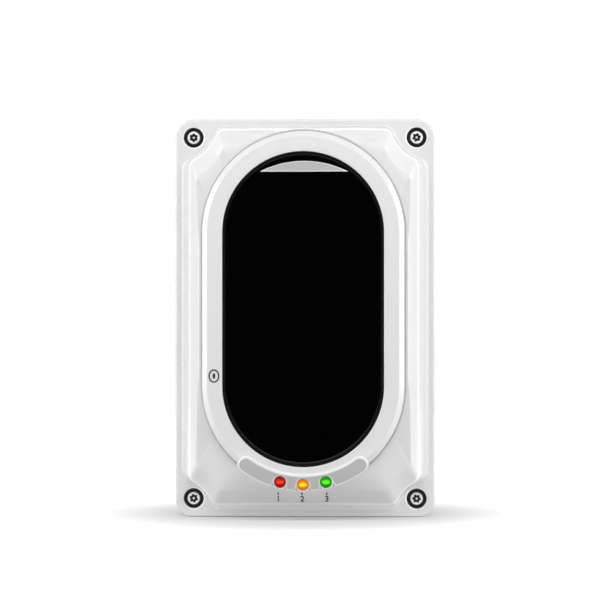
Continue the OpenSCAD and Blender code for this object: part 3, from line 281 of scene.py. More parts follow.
def eased(obj, width, segments=2, angle=None):
    """Rounds the object's edges, or those sharper than the angle, by a width in millimetres"""
    step = obj.modifiers.new("eased_edges", "BEVEL")
    step.width, step.segments = width * mm, segments
    if angle:
        step.limit_method, step.angle_limit, step.use_clamp_overlap = "ANGLE", math.radians(angle), False
    return baked(obj)


def dressed(node, name, material, body, soft=0.25, angle=38):
    """The CAD node's own shape with its corners eased, in its place"""
    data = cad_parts[node].data.copy()
    data.name = name
    work = bmesh.new()
    work.from_mesh(data)
    bmesh.ops.remove_doubles(work, verts=work.verts, dist=2e-6)
    bmesh.ops.dissolve_limit(work, angle_limit=math.radians(0.6), verts=work.verts, edges=work.edges)
    work.to_mesh(data)
    work.free()
    if "custom_normal" in data.attributes:
        data.attributes.remove(data.attributes["custom_normal"])
    data.materials.clear()
    data.materials.append(material)
    made = in_scene(name, data)
    if soft:
        eased(made, soft, 2, angle)
    smooth(made.data, angle)
    return placed(made, node, body)


dressed("back_box", "back_box_moulding", white_abs, "back_box", 0.4)

# Threaded inserts
# Four turned brass bushes, pressed hot into the lugs of the back box, that take the cover's screws.
brass = finish_of(
    "brass", (0.78, 0.56, 0.22), (0.6, 0.4, 0.15), (0.22, 0.38), grain_size=1200.0, patch_size=180.0, metallic=1.0
)
dressed("threaded_inserts", "brass_screw_inserts", brass, "back_box", 0.15)

# Cable grommets
# Two blind grommets of black rubber that close the round cable entries. The fitter cuts one open for the cable.
seal_rubber = finish_of(
    "seal_rubber", (0.006, 0.006, 0.006), (0.01, 0.01, 0.01), (0.5, 0.65), grain_size=1800.0, grain_height=0.00002
)
dressed("cable_grommets", "rubber_cable_grommets", seal_rubber, "back_box", 0.35)

# Main board
# A glass-fibre circuit board under green lacquer, with tinned pads and copper tracks that show through, held on four
# posts by small slotted screws. Small chip resistors and capacitors are soldered between the large parts.
board_face = 9.6
board_tracks = effect("board_tracks", {"Track scale": 250.0, "Patch scale": 90.0}, {"Tracks": "Float", "Pads": "Float"})
furnish(
    board_tracks, place=("TexCoord",), flat=("Mapping", {"Scale": (1, 0, 1)}), patch=("TexVoronoi", "CHEBYCHEV"),
    choice=("SeparateColor",), which=("Math", "GREATER_THAN"), across=("TexWave", "X"), along=("TexWave", "Z"),
    mix=("Mix",), edge=span(0.52, 0.62), cells=("TexVoronoi", {"Scale": 230.0, "Randomness": 0.75}),
    pad_edge=span(0.13, 0.15, 1, 0),
)
wire(
    board_tracks, "place.Object > flat > patch.Color > choice > which > mix > edge > result[Tracks]",
    "given.Patch scale > patch[Scale]", "given.Track scale > across[Scale]", "given.Track scale > along[Scale]",
    "flat > across.Fac > mix[2]", "flat > along.Fac > mix[3]", "flat > cells.Distance > pad_edge > result[Pads]",
)
board_green = material_of("board_green", Coat_Weight=0.5, Coat_Roughness=0.12)
furnish(
    board_green.node_tree, tracks=("Group", board_tracks, {"Track scale": 250.0, "Patch scale": 90.0}),
    tone=toned((0.006, 0.075, 0.028), (0.005, 0.06, 0.022), 60.0, 0.28, 0.4),
    lacquer=("Mix", "RGBA", {7: (0.018, 0.17, 0.06, 1)}), tinned=("Mix", "RGBA", {7: (0.62, 0.6, 0.55, 1)}),
    raised=("Bump", {"Strength": 1.0, "Distance": 0.00004}),
)
wire(
    board_green.node_tree, "tone.Colour > lacquer[6].2 > tinned[6].2 > shader[Base Color]", "tracks.Tracks > lacquer",
    "tracks.Pads > tinned", "tracks.Pads > shader[Metallic]", "tone.Roughness > shader[Roughness]",
    "tracks.Tracks > raised[Height]", "raised > shader[Normal]",
)
dressed("main_board", "main_circuit_board", board_green, "back_box", 0)

repeat_tree = bpy.data.node_groups.new("set_out_repeats", "GeometryNodeTree")
for label, side, kind in (
    ("Geometry", "INPUT", "Geometry"), ("Pattern", "INPUT", "Object"), ("Finish", "INPUT", "Material"),
    ("Loose turn", "INPUT", "Float"), ("Seed", "INPUT", "Int"), ("Geometry", "OUTPUT", "Geometry"),
):
    repeat_tree.interface.new_socket(label, in_out=side, socket_type="NodeSocket" + kind)
furnish(
    repeat_tree, given=("NodeGroupInput",), result=("NodeGroupOutput",), pattern=("GeometryNodeObjectInfo",),
    own_turn=("GeometryNodeInputNamedAttribute", "FLOAT", {"Name": "turn"}),
    loose_turn=("FunctionNodeRandomValue", "FLOAT"), whole_turn=("Math",), turned_about=("CombineXYZ",),
    copies=("GeometryNodeInstanceOnPoints",), real_copies=("GeometryNodeRealizeInstances",),
    finished=("GeometryNodeSetMaterial",),
)
wire(
    repeat_tree, "given.Pattern > pattern.Geometry > copies[Instance]", "given.Loose turn > loose_turn[3]",
    "given.Seed > loose_turn[Seed]", "own_turn > whole_turn > turned_about[Y]", "loose_turn.1 > whole_turn[1]",
    "given.Geometry > copies[Points]", "turned_about > copies[Rotation]", "copies > real_copies > finished > result",
    "given.Finish > finished[Material]",
)


def stood(points):
    """Points as seen from the front, in millimetres, to the part's own frame in metres"""
    points = np.asarray(points, float)
    return np.stack([points[:, 0], -points[:, 2], points[:, 1]], 1) * mm


def mesh_object(name, points, faces, material):
    """A closed shape from points as seen from the front, with its faces turned outwards"""
    data = bpy.data.meshes.new(name)
    data.from_pydata([tuple(p) for p in stood(points)], [], faces)
    work = bmesh.new()
    work.from_mesh(data)
    bmesh.ops.remove_doubles(work, verts=work.verts, dist=1e-7)
    bmesh.ops.recalc_face_normals(work, faces=work.faces)
    work.to_mesh(data)
    work.free()
    data.materials.append(material)
    smooth(data)
    return in_scene(name, data)


def removed(obj):
    data = obj.data
    bpy.data.objects.remove(obj)
    bpy.data.meshes.remove(data)


def tube_faces(rings, n, closed=True):
    """Quads between rings of n points each; the last ring is joined to the first if closed, else both have a lid"""
    faces = []
    for k in range(rings if closed else rings - 1):
        a, b = k * n, (k + 1) % rings * n
        faces += [(a + i, a + (i + 1) % n, b + (i + 1) % n, b + i) for i in range(n)]
    if not closed:
        faces += [tuple(range(n)), tuple(range((rings - 1) * n, rings * n))]
    return faces


def repeated(name, pattern_object, places, material, turns=None, loose=0.0, seed=1):
    """The pattern set at every place (x, y, z) of the view from the front, each turned about the line of sight"""
    data = bpy.data.meshes.new(name)
    data.from_pydata([(x * mm, -z * mm, y * mm) for x, y, z in places], [], [])
    own = data.attributes.new("turn", "FLOAT", "POINT")
    own.data.foreach_set("value", [float(t) for t in turns or [0] * len(places)])
    made = in_scene(name, data)
    step = made.modifiers.new("set_out", "NODES")
    step.node_group = repeat_tree
    for item in repeat_tree.interface.items_tree:
        value = {"Pattern": pattern_object, "Finish": material, "Loose turn": float(loose), "Seed": seed}.get(item.name)
        if item.in_out == "INPUT" and value is not None:
            step[item.identifier] = value
    baked(made)
    removed(pattern_object)
    if not made.data.materials:
        made.data.materials.append(material)
    smooth(made.data)
    return made


def block(name, low, high, material, soft=0.1, segments=2):
    """A block with eased edges between two corners given as seen from the front"""
    (x0, y0, z0), (x1, y1, z1) = low, high
    points = [(x, y, z) for z in (z0, z1) for x, y in ((x0, y0), (x1, y0), (x1, y1), (x0, y1))]
    made = mesh_object(name, points, tube_faces(2, 4, closed=False), material)
    if soft:
        smooth(eased(made, soft, segments).data)
    return made


def merged(first, *others):
    """Adds the meshes of the others, which are then removed, to the first"""
    work = bmesh.new()
    work.from_mesh(first.data)
    for other in others:
        work.from_mesh(other.data)
        removed(other)
    work.to_mesh(first.data)
    work.free()
    return first


tin = finish_of(
    "tin", (0.7, 0.7, 0.69), (0.55, 0.55, 0.54), (0.2, 0.35), grain_size=2200.0, grain_height=0.000004,
    patch_size=300.0, metallic=1.0,
)
resistor_black = finish_of(
    "resistor_black", (0.012, 0.012, 0.013), (0.02, 0.02, 0.02), (0.3, 0.45), grain_size=2500.0, grain_height=0.000004
)
chip_part_places = [
    (x, y, board_face)
    for x, y in (
        (-38, 44), (-34, 44), (-30, 44), (-38, 40), (-34, 40), (-30, 40), (-14, 44), (-14, 40), (-14, 36), (-28, 34),
        (12, 46), (28, 44), (28, 40), (28, 36), (12, 36), (34, 24), (34, 20), (30, 20), (-34, 24), (-34, 20), (-30, 20),
        (0, 24), (4, 24), (-4, 24), (8, 20), (-8, 20), (0, -12), (4, -12), (8, -12), (-4, -12), (-8, -16), (-30, -18),
        (-30, -22), (-30, -26), (-30, -30), (-6, -22), (-6, -26), (-6, -30), (6, -20), (6, -24), (6, -28), (19, -32),
        (24, -32), (14, -32), (19, -16), (24, -16), (34, -14), (34, -18), (-36, -12), (-32, -12), (-20, -40),
        (-16, -40), (-12, -40), (14, -40), (18, -40), (22, -40), (-20, -44), (22, -44), (-6, -48), (6, -48),
    )
]
chip_part_turns = [0.0 if (i * 7) % 5 < 3 else math.pi / 2 for i in range(len(chip_part_places))]
chip_body = block("chip_part", (-0.7, -0.6, 0.0), (0.7, 0.6, 0.55), resistor_black, 0.05, 1)
chip_ends = merged(*(
    block("chip_end", (x, -0.62, -0.02), (x + 0.34, 0.62, 0.6), tin, 0.05, 1) for x in (-1.0, 0.66)
))
placed(
    repeated("chip_resistors", chip_body, chip_part_places, resistor_black, chip_part_turns),
    "main_board", "back_box",
)
placed(
    repeated("chip_resistor_ends", chip_ends, chip_part_places, tin, chip_part_turns), "main_board", "back_box"
)

# Board screws
# Plated steel screws with slotted heads, that hold the main board down on its posts.
plated_steel = finish_of(
    "plated_steel", (0.66, 0.66, 0.67), (0.5, 0.5, 0.51), (0.18, 0.3), grain_size=900.0, grain_height=0.000005,
    patch_size=260.0, metallic=1.0,
)
dressed("board_screws", "slotted_board_screws", plated_steel, "back_box", 0.18)

# Terminals
# Two rows of rising-clamp terminals in green nylon along the board's sides, each pole with its own slotted screw.
terminal_nylon = finish_of(
    "terminal_nylon", (0.03, 0.27, 0.1), (0.024, 0.22, 0.085), (0.32, 0.45), grain_size=1600.0, grain_height=0.000012
)
dressed("terminal_blocks", "green_terminal_blocks", terminal_nylon, "back_box")
dressed("terminal_screws", "terminal_clamp_screws", plated_steel, "back_box", 0.15)

# Relays
# Two sealed relays in pale moulded cases, one for the fire contact and one for the fault contact.
relay_case = finish_of(
    "relay_case", (0.62, 0.64, 0.66), (0.58, 0.6, 0.62), (0.3, 0.42), grain_size=1800.0, grain_height=0.000012, coat=0.1
)
dressed("relays", "relay_cases", relay_case, "back_box", 0.6)

# Capacitors
# Four aluminium cans in shrunk black sleeves that leave a bright top, with a cross pressed into it.
can_r, can_top_z = 4.0, 20.6
can_places, can_turns = [(x, y, 0) for x in (-33, 33) for y in (10, -1)], [0.4, 1.1, 0.2, 0.75]
sleeve = finish_of(
    "shrunk_sleeve", (0.01, 0.011, 0.014), (0.016, 0.016, 0.02), (0.22, 0.34), grain_size=1500.0, grain_height=0.000008
)


def round_angles(steps):
    return np.linspace(0, 2 * math.pi, steps, endpoint=False)


def lathe(name, profile, material, steps=48, middles=((0, 0),), ring=False):
    """A profile of radius and height turned round each middle, into a ring or a solid with a lid at both ends"""
    points, faces = [], []
    for x, y in middles:
        faces += [tuple(len(points) + i for i in face) for face in tube_faces(len(profile), steps, closed=ring)]
        points += [(x + r * math.cos(a), y + r * math.sin(a), z) for r, z in profile for a in round_angles(steps)]
    return mesh_object(name, points, faces, material)


def cut_by(obj, cutters, operation="DIFFERENCE"):
    """A Boolean with every cutter, which are then removed"""
    for cutter in cutters:
        step = obj.modifiers.new("cut", "BOOLEAN")
        step.operation, step.solver, step.object = operation, "EXACT", cutter
    baked(obj)
    for cutter in cutters:
        removed(cutter)
    smooth(obj.data)
    return obj


can_sleeve = lathe(
    "can_sleeve",
    [(can_r - inset, board_face + rise) for inset, rise in (
        (0.4, 0), (0.1, 0.1), (0, 0.5), (0, 1.4), (0.25, 1.8), (0.25, 2.1), (0, 2.5))]
    + [(can_r - inset, can_top_z - fall) for inset, fall in ((0, 0.5), (0.15, 0.15), (0.5, 0), (0.95, 0), (1.05, 0.1))],
    sleeve,
)
can_top = lathe(
    "can_top", [(r, can_top_z - fall) for r, fall in ((3.2, 0.8), (3.1, 0.14), (2.9, 0.05), (0.05, 0.03))], tin
)
cut_by(can_top, [
    block("score", (-half_x, -half_y, can_top_z - 0.3), (half_x, half_y, can_top_z + 1), tin, 0)
    for half_x, half_y in ((2.2, 0.12), (0.12, 2.2))
])
placed(
    repeated("capacitor_sleeves", can_sleeve, can_places, sleeve, can_turns), "capacitors", "back_box"
)
placed(repeated("capacitor_tops", can_top, can_places, tin, can_turns), "capacitors", "back_box")

# Processor and driver chips
# Black epoxy packages on bent tin-plated leads: one square processor, and four small driver chips with four leads a
# side.
chip_epoxy = finish_of(
    "chip_epoxy", (0.012, 0.012, 0.012), (0.02, 0.02, 0.02), (0.4, 0.55), grain_size=3500.0, grain_height=0.000012
)


def package(half_x, half_y, height, mark_r):
    """An epoxy package with drafted sides and a round dimple at its first lead, on the board's face"""
    z0, z1, draft = board_face + 0.12, board_face + height, 0.12
    points = [
        (sx * (half_x + grow), sy * (half_y + grow), z)
        for grow, z in ((-draft, z0), (0, (z0 + z1) / 2), (-draft, z1))
        for sx, sy in ((-1, -1), (1, -1), (1, 1), (-1, 1))
    ]
    made = mesh_object("package", points, tube_faces(3, 4, closed=False), chip_epoxy)
    mark_middle = (2.2 * mark_r - half_x, half_y - 2.2 * mark_r)
    return cut_by(made, [lathe("dimple", [(mark_r, z1 - 0.1), (mark_r, z1 + 1)], chip_epoxy, 24, [mark_middle])])


def bent_lead(reach, high, width):
    """A lead that leaves a package, bends down and ends in a flat foot on its pad"""
    line = [(-0.1, high), (0.28 * reach, high), (0.45 * reach, high - 0.12), (0.6 * reach, 0.2), (0.75 * reach, 0.1),
            (reach, 0.1)]
    section = [(-width / 2, -0.07), (-width / 2, 0.07), (width / 2, 0.07), (width / 2, -0.07)]
    points = [(x, y, board_face + z + rise) for x, z in line for y, rise in section]
    return mesh_object("lead", points, tube_faces(len(line), 4, closed=False), tin)


def leads_round(middles, sides, count, pitch, half):
    """Places and turns of a count of leads on each side of the packages, half a package's width from the middles"""
    places, turns = [], []
    for x, y in middles:
        for a in round_angles(sides):
            for k in range(count):
                off = (k - (count - 1) / 2) * pitch
                places.append((
                    x + half * math.cos(a) - off * math.sin(a), y + half * math.sin(a) + off * math.cos(a), 0
                ))
                turns.append(-a)
    return places, turns


for node, package_name, leads_name, middles, package_size, lead_size, lead_rows in (
    ("processor", "processor_package", "processor_leads", [(-18, -26)], (5.4, 5.4, 1.2, 0.4), (1.1, 0.6, 0.35),
     (4, 12, 0.8, 5.4)),
    ("driver_chips", "driver_chip_packages", "driver_chip_leads", [(14, -24), (24, -24), (-22, 38), (20, 40)],
     (1.95, 2.9, 1.5, 0.35), (1.45, 0.75, 0.42), (2, 4, 1.5, 1.9)),
):
    packages = repeated(package_name, package(*package_size), [(x, y, 0) for x, y in middles], chip_epoxy)
    placed(packages, node, "back_box")
    lead_places, lead_turns = leads_round(middles, *lead_rows)
    placed(repeated(leads_name, bent_lead(*lead_size), lead_places, tin, lead_turns), node, "back_box")

# Mode switch
# A small slide switch in a black case, with a white slider that picks between the ways of lining up.
switch_case = finish_of("switch_case", (0.014, 0.014, 0.015), (0.02, 0.02, 0.021), (0.35, 0.5), grain_size=1800.0)
slider_white = finish_of("slider_white", (0.74, 0.74, 0.72), (0.68, 0.68, 0.66), (0.3, 0.42), grain_size=1800.0)
dressed("mode_switch", "mode_switch_case", switch_case, "back_box")
dressed("mode_switch_slider", "mode_slider_knob", slider_white, "mode_slider", 0.3)

# Pivot brackets
# Two brackets bent from zinc-plated steel sheet and screwed to the floor of the box. Their arms carry the pins on
# which the pan frame swings from side to side. A third one holds the pan adjuster.
zinc_sheet = finish_of(
    "zinc_sheet", (0.56, 0.57, 0.58), (0.42, 0.43, 0.45), (0.28, 0.42), grain_size=420.0, grain_height=0.000006,
    patch_size=120.0, metallic=1.0,
)
for node in ("upper_pivot_bracket", "lower_pivot_bracket", "pan_adjuster_bracket"):
    dressed(node, node + "_sheet", zinc_sheet, "back_box", 0.2)
dressed("bracket_screws", "slotted_bracket_screws", plated_steel, "back_box", 0.18)
dressed("pan_pins", "turned_pan_pins", plated_steel, "back_box", 0.15)

# Pan frame
# A ribbed frame in grey glass-filled nylon that swings on the pan pins and carries the optics on two tilt pins.
grey_nylon = finish_of(
    "grey_nylon", (0.2, 0.205, 0.21), (0.165, 0.17, 0.175), (0.42, 0.56), grain_size=2600.0, grain_height=0.00003,
    waviness=0.4, patch_size=40.0,
)
dressed("pan_frame", "pan_frame_moulding", grey_nylon, "pan_frame", 0.35)
dressed("tilt_pins", "turned_tilt_pins", plated_steel, "pan_frame", 0.12)

# Adjusters
# Two long M3 screws with black ribbed thumbwheels pressed on their front ends. Each is held by two collars in its plate
# and moves a nut in the frame or the carrier, so that the optics swing by a fraction of a degree a turn.
wheel_r, wheel_t, wheel_grooves, wheel_bore = 6.5, 5.0, 20, 1.5
adjuster_core, adjuster_r, adjuster_pitch, collar_r, collar_t = 1.22, 1.5, 0.5, 2.6, 0.8
wheel_black = finish_of(
    "wheel_black", (0.016, 0.016, 0.017), (0.024, 0.024, 0.025), (0.34, 0.48), grain_size=2400.0, grain_height=0.000014
)


def ridge(r, core, pitch, low, high, material, steps=18):
    """The thread of a screw: a sharp ridge wound round its shank from one height to another"""
    count = int((high - low) / pitch * steps)
    points = []
    for k in range(count + 1):
        a = 2 * math.pi * k / steps
        for reach, rise in ((core, -0.42), (r, 0.0), (core, 0.42)):
            points.append((reach * math.cos(a), reach * math.sin(a), low + pitch * (k / steps + rise)))
    return mesh_object("ridge", points, tube_faces(count + 1, 3, closed=False), material)


def thumbwheel(points_a_groove=12):
    """A wheel with round-bottomed grooves between its ribs, a dished front and a soft rim"""
    outline = []
    for k in range(points_a_groove * wheel_grooves):
        off_groove = k % points_a_groove / points_a_groove - 0.5
        dip = 0.5 * math.cos(2.4 * math.pi * off_groove) if abs(off_groove) < 0.21 else 0.0
        outline.append((2 * math.pi * k / (points_a_groove * wheel_grooves), wheel_r - dip))
    ribbed = ((0.35, 0.0), (0.1, 0.1), (0.0, 0.35), (0.0, wheel_t - 0.6), (0.15, wheel_t - 0.2), (0.55, wheel_t))
    plain = ((5.0, wheel_t), (4.8, wheel_t - 0.1), (4.4, wheel_t - 0.45), (2.9, wheel_t - 0.45), (2.6, wheel_t - 0.1),
             (2.4, wheel_t), (wheel_bore, wheel_t), (wheel_bore, 0.0))
    reaches = [(r - inset, a, z) for inset, z in ribbed for a, r in outline]
    reaches += [(r, a, z) for r, z in plain for a, _ in outline]
    points = [(r * math.cos(a), r * math.sin(a), z) for r, a, z in reaches]
    return mesh_object("thumbwheel", points, tube_faces(len(ribbed + plain), len(outline)), wheel_black)


for way, x, y, wheel_z, plate_z0 in (("pan", 47.5, 30.0, 64.0, 38.0), ("tilt", -33.0, 70.0, 66.0, 41.0)):
    tail_z, wheel_top = plate_z0 - 3.1, wheel_z + wheel_t
    wheel = repeated(way + "_ribbed_thumbwheel", thumbwheel(), [(x, y, wheel_z)], wheel_black)
    placed(wheel, way + "_thumbwheel", way + "_wheel")
    shank = lathe(
        "shank",
        [(0.8, tail_z), (adjuster_core, tail_z + 0.5), (adjuster_core, wheel_z - 0.2), (adjuster_r - 0.02, wheel_z),
         (adjuster_r - 0.02, wheel_top - 0.2), (adjuster_r - 0.25, wheel_top)],
        plated_steel, 24,
    )
    winding = ridge(adjuster_r, adjuster_core - 0.02, adjuster_pitch, tail_z + 0.8, wheel_z - 0.4, plated_steel)
    collar_profile = [(1.0, 0), (collar_r - 0.2, 0), (collar_r, 0.2), (collar_r, collar_t - 0.2),
                      (collar_r - 0.2, collar_t), (1.0, collar_t)]
    collars = [
        lathe("collar", [(r, z + rise) for r, rise in collar_profile], plated_steel, 32)
        for z in (plate_z0 - 1.1, plate_z0 + 4.3)
    ]
    adjuster = repeated(way + "_threaded_screw", merged(shank, winding, *collars), [(x, y, 0)], plated_steel)
    placed(adjuster, way + "_adjusting_screw", way + "_wheel")

# Optics carrier
# A grey plate with two round seats and a lug for the tilt screw, that swings up and down on the tilt pins.
dressed("optics_carrier", "optics_carrier_moulding", grey_nylon, "optics_head", 0.3)

# Barrels
# Two conical barrels in matt black plastic that keep stray light out, one round the sender and one round the receiver,
# each screwed to the carrier by its flange.
matt_black = finish_of(
    "matt_black", (0.012, 0.012, 0.012), (0.018, 0.018, 0.018), (0.55, 0.7), grain_size=3000.0, grain_height=0.00003,
    waviness=0.3,
)
for node in ("transmitter_barrel", "receiver_barrel"):
    dressed(node, node + "_moulding", matt_black, "optics_head", 0.2)
dressed("barrel_screws", "slotted_barrel_screws", plated_steel, "optics_head", 0.15)

# Lenses
# Two clear acrylic lenses, flat behind and domed in front, that make the beam narrow and gather its return.
clear_acrylic = material_of("clear_acrylic", Transmission_Weight=1.0, IOR=1.49)
furnish(clear_acrylic.node_tree, tone=toned((0.93, 0.95, 0.97), (0.9, 0.93, 0.96), 40.0, 0.01, 0.035))
wire(clear_acrylic.node_tree, "tone.Colour > shader[Base Color]", "tone.Roughness > shader[Roughness]")
for side in ("transmitter", "receiver"):
    dressed(side + "_lens", side + "_acrylic_lens", clear_acrylic, "optics_head", 0)

# Lens retainers
# Two snap rings in grey nylon that press the lenses into the mouths of the barrels.
dressed("lens_retainers", "lens_snap_rings", grey_nylon, "optics_head", 0.2)

# Sender and receiver
# At the narrow end of each barrel sits a small board: one with the infrared lamp, one with the photodiode under a
# tinned steel can that keeps electrical noise out.
for side in ("transmitter", "receiver"):
    dressed(side + "_board", side + "_circuit_board", board_green, "optics_head", 0)
emitter_epoxy = finish_of(
    "emitter_epoxy", (0.16, 0.1, 0.2), (0.12, 0.075, 0.16), (0.06, 0.12), grain_size=1200.0, grain_height=0.000002,
    coat=0.4,
)
dressed("infrared_emitter", "infrared_emitter_lamp", emitter_epoxy, "optics_head", 0)
dressed("photodiode", "photodiode_case", chip_epoxy, "optics_head", 0.2)
dressed("receiver_shield", "tinned_shield_can", tin, "optics_head", 0.3)

# Indicator board
# A narrow board behind the light pipes, with three small lamps, on two hexagonal steel posts from the floor of the box.
dressed("indicator_posts", "hexagonal_posts", plated_steel, "back_box", 0.2)
dressed("indicator_board", "indicator_circuit_board", board_green, "back_box", 0)
dressed("indicator_board_screws", "slotted_lamp_board_screws", plated_steel, "back_box", 0.15)
lamp_epoxy = finish_of(
    "lamp_epoxy", (0.8, 0.8, 0.74), (0.74, 0.74, 0.68), (0.08, 0.16), grain_size=1500.0, grain_height=0.000003, coat=0.5
)
dressed("indicator_lamps", "indicator_lamp_bodies", lamp_epoxy, "back_box", 0)

# Front cover
# One moulding in gloss white ABS: a flat flange with a skirt that laps the back box, a raised body that leans in and
# is cut back round each screw, and a shoulder that rises to the seat of the window surround.
half_w, half_h, cover_r, wall = 65.0, 99.5, 9.0, 2.5
flange_z, plate_z, ledge_z, foot_z = 58.0, 55.5, 47.0, 44.05
edge_z, shoulder_z, seat_z, seat_back_z = 77.0, 84.0, 83.2, 80.7
flange_margin, flange_round, edge_round = 3.7, 1.2, 1.5
lean_side, lean_top, lean_bottom = 4.8, 2.4, 3.8
screw_x, screw_y = 55.8, 90.3
cutin_r, lower_cutin_r, cutin_bow, cutin_fillet, cutin_lean = 8.2, 6.0, 23.0, 6.0, 2.0
shoulder_band, band_share, crown_share = 8.5, 0.9, 0.3
ledge_w, skirt_inset = 4.5, 1.6
window_y, window_half = 4.5, 37.7
surround_r, groove_r, shoulder_r, seat_r = 49.6, 50.4, 50.9, 42.7
fillet_steps, cutin_steps, side_points, end_points = 10, 16, 44, 26
well_r, well_z, bore_r, pillar_r = 5.0, 54.0, 2.25, 6.5
from_screw = effect("from_screw", {"Place": (0, 0, 0)}, {"Radius": "Float"})
furnish(
    from_screw, mirrored=("VectorMath", "ABSOLUTE"), reach=("VectorMath", "LENGTH"),
    off=("VectorMath", "SUBTRACT", {1: (screw_x * mm, 0, screw_y * mm)}),
    flat=("VectorMath", "MULTIPLY", {1: (1, 0, 1)}),
)
wire(from_screw, "given.Place > mirrored > off > flat > reach.Value > result[Radius]")
# The cover's ABS is painted whiter in a thin ring round the rim of each screw well and in a band along the raised
# body's edge: painted highlights.
cover_abs = white_abs.copy()
cover_abs.name = "cover_abs"
furnish(
    cover_abs.node_tree, place=("TexCoord",), radius=("Group", from_screw), parts=("SeparateXYZ",),
    inside_lip=span((well_r + 0.55) * mm, (well_r + 0.7) * mm, 1, 0),
    outside_well=span((well_r - 0.1) * mm, well_r * mm), well_lip=("Math", "MULTIPLY"),
    above_wall=span((0.4 - edge_z) * mm, (1.2 - edge_z) * mm, 1, 0), edge=("Math", "MULTIPLY"),
    below_crown=span(-(edge_z + 0.9) * mm, -(edge_z + 0.4) * mm), lips=("Math", "MAXIMUM"),
    bright=("Mix", "RGBA", {7: white}),
)
wire(
    cover_abs.node_tree, "place.Object > radius > inside_lip > well_lip > lips > bright",
    "radius > outside_well > well_lip[1]", "place.Object > parts.Y > above_wall > edge > lips[1]",
    "parts.Y > below_crown > edge[1]", "tone.Colour > bright[6].2 > shader[Base Color]",
)


def arc(middle, r, start, end, steps):
    angles = np.radians(np.linspace(start, end, steps + 1))
    return np.array(middle) + r * np.stack([np.cos(angles), np.sin(angles)], 1)


def heading(v):
    return math.degrees(math.atan2(v[1], v[0]))


def quarter(a, b, screw_gap, rc, rf):
    """One quarter of the raised body's outline, from the side round the cut-in, which passes its screw at a gap"""
    s = np.array([screw_x, screw_y]) + (cutin_bow - screw_gap) / math.sqrt(2)
    f1 = np.array([a - rf, s[1] - math.sqrt((rc + rf) ** 2 - (s[0] - a + rf) ** 2)])
    f2 = np.array([s[0] - math.sqrt((rc + rf) ** 2 - (s[1] - b + rf) ** 2), b - rf])
    low, high = heading(f1 - s) + 360, heading(f2 - s) + (360 if f2[1] < s[1] else 0)
    if low - high > 180:
        high += 360
    return np.concatenate([
        arc(f1, rf, 0, heading(s - f1), fillet_steps),
        arc(s, rc, low, high, cutin_steps)[1:-1],
        arc(f2, rf, heading(s - f2), 90, fillet_steps),
    ])


def body_outline(inset, lean):
    """The raised body's outline, inset all round, with a share of the walls' lean"""
    a = half_w - flange_margin - inset - lean_side * lean
    ends = [half_h - flange_margin - inset - end_lean * lean for end_lean in (lean_top, lean_bottom)]
    rc = cutin_bow + inset + cutin_lean * lean
    rf = max(cutin_fillet - inset - cutin_lean * lean, 0.6)
    first = quarter(a, ends[0], cutin_r, rc, rf)
    third = quarter(a, ends[1], lower_cutin_r, rc, rf) * [-1, -1]
    quarters = [first, (first * [-1, 1])[::-1], third, (third * [-1, 1])[::-1]]
    line = []
    for i, count in enumerate((end_points, side_points, end_points, side_points)):
        p, q = quarters[i][-1], quarters[(i + 1) % 4][0]
        line += [quarters[i], p + (q - p) * (np.arange(1, count + 1) / (count + 1))[:, None]]
    return np.concatenate(line)


middle = np.array([0.0, window_y])
foot_outer = body_outline(0, 0)
rays_out = foot_outer - middle
rays_out /= np.linalg.norm(rays_out, axis=1)[:, None]


def on_oval(r):
    """Where the rays from the window's middle meet an oval of half width r"""
    u = np.abs(rays_out)
    side = np.where(u[:, 0] > 1e-9, r / np.maximum(u[:, 0], 1e-9), 1e9)
    at_end = window_half * u[:, 1] + np.sqrt(np.maximum(r * r - (window_half * u[:, 0]) ** 2, 0))
    return middle + rays_out * np.where(u[:, 1] * side <= window_half, side, at_end)[:, None]


def on_slab(inset):
    """Where the same rays meet the flange's rounded outline, inset all round"""
    a, b, r = half_w - inset, half_h - inset, cover_r - inset
    points = []
    for u in rays_out:
        low, high = 0.0, 400.0
        for _ in range(48):
            t = (low + high) / 2
            p = np.abs(middle + u * t)
            q = np.maximum(p - [a - r, b - r], 0)
            inside = (q[0] ** 2 + q[1] ** 2 <= r * r) if q[0] > 0 and q[1] > 0 else (p[0] <= a and p[1] <= b)
            low, high = (t, high) if inside else (low, t)
        points.append(middle + u * low)
    return np.array(points)


def at_level(points, z):
    return np.column_stack([points, np.full(len(points), z)])


def shoulder_ring(edge, oval, low, high, share):
    """A ring on the shoulder, which rises within a band along its edge and is flat from there to the oval"""
    way = oval - edge
    part_of_way = np.minimum(band_share, shoulder_band / np.maximum(np.linalg.norm(way, axis=1), 1e-6))[:, None]
    rise = (1 - crown_share) * share + crown_share * math.sin(math.pi / 2 * share)
    return at_level(edge + way * part_of_way * share, low + (high - low) * rise)


edge_outer, oval_outer = body_outline(0, 1), on_oval(shoulder_r)
edge_inner, oval_inner, foot_inner = body_outline(wall, 1), on_oval(shoulder_r - wall), body_outline(wall, 0)
edge_at = at_level(edge_outer, edge_z)
down_wall = at_level(foot_outer, flange_z) - edge_at
down_wall /= np.linalg.norm(down_wall, axis=1)[:, None]
along = shoulder_ring(edge_outer, oval_outer, edge_z, shoulder_z, 0.1) - edge_at
bend_from = edge_at + down_wall * edge_round
bend_to = edge_at + along * np.minimum(1, edge_round / np.linalg.norm(along, axis=1)[:, None])
rings = [at_level(on_slab(inset), foot_z + rise) for inset, rise in ((0.45, 0), (0.12, 0.12), (0, 0.45))]
for angle in np.linspace(0, math.pi / 2, 7):
    rings.append(
        at_level(on_slab(flange_round * (1 - math.cos(angle))), flange_z - flange_round * (1 - math.sin(angle)))
    )
rings += [at_level(body_outline(-grow, 0), flange_z + rise) for grow, rise in ((0.7, 0.0), (0.35, 0.08), (0.12, 0.3))]
rings += [at_level(body_outline(0, lean), flange_z + (edge_z - flange_z) * lean) for lean in (0.04, 0.3, 0.6)]
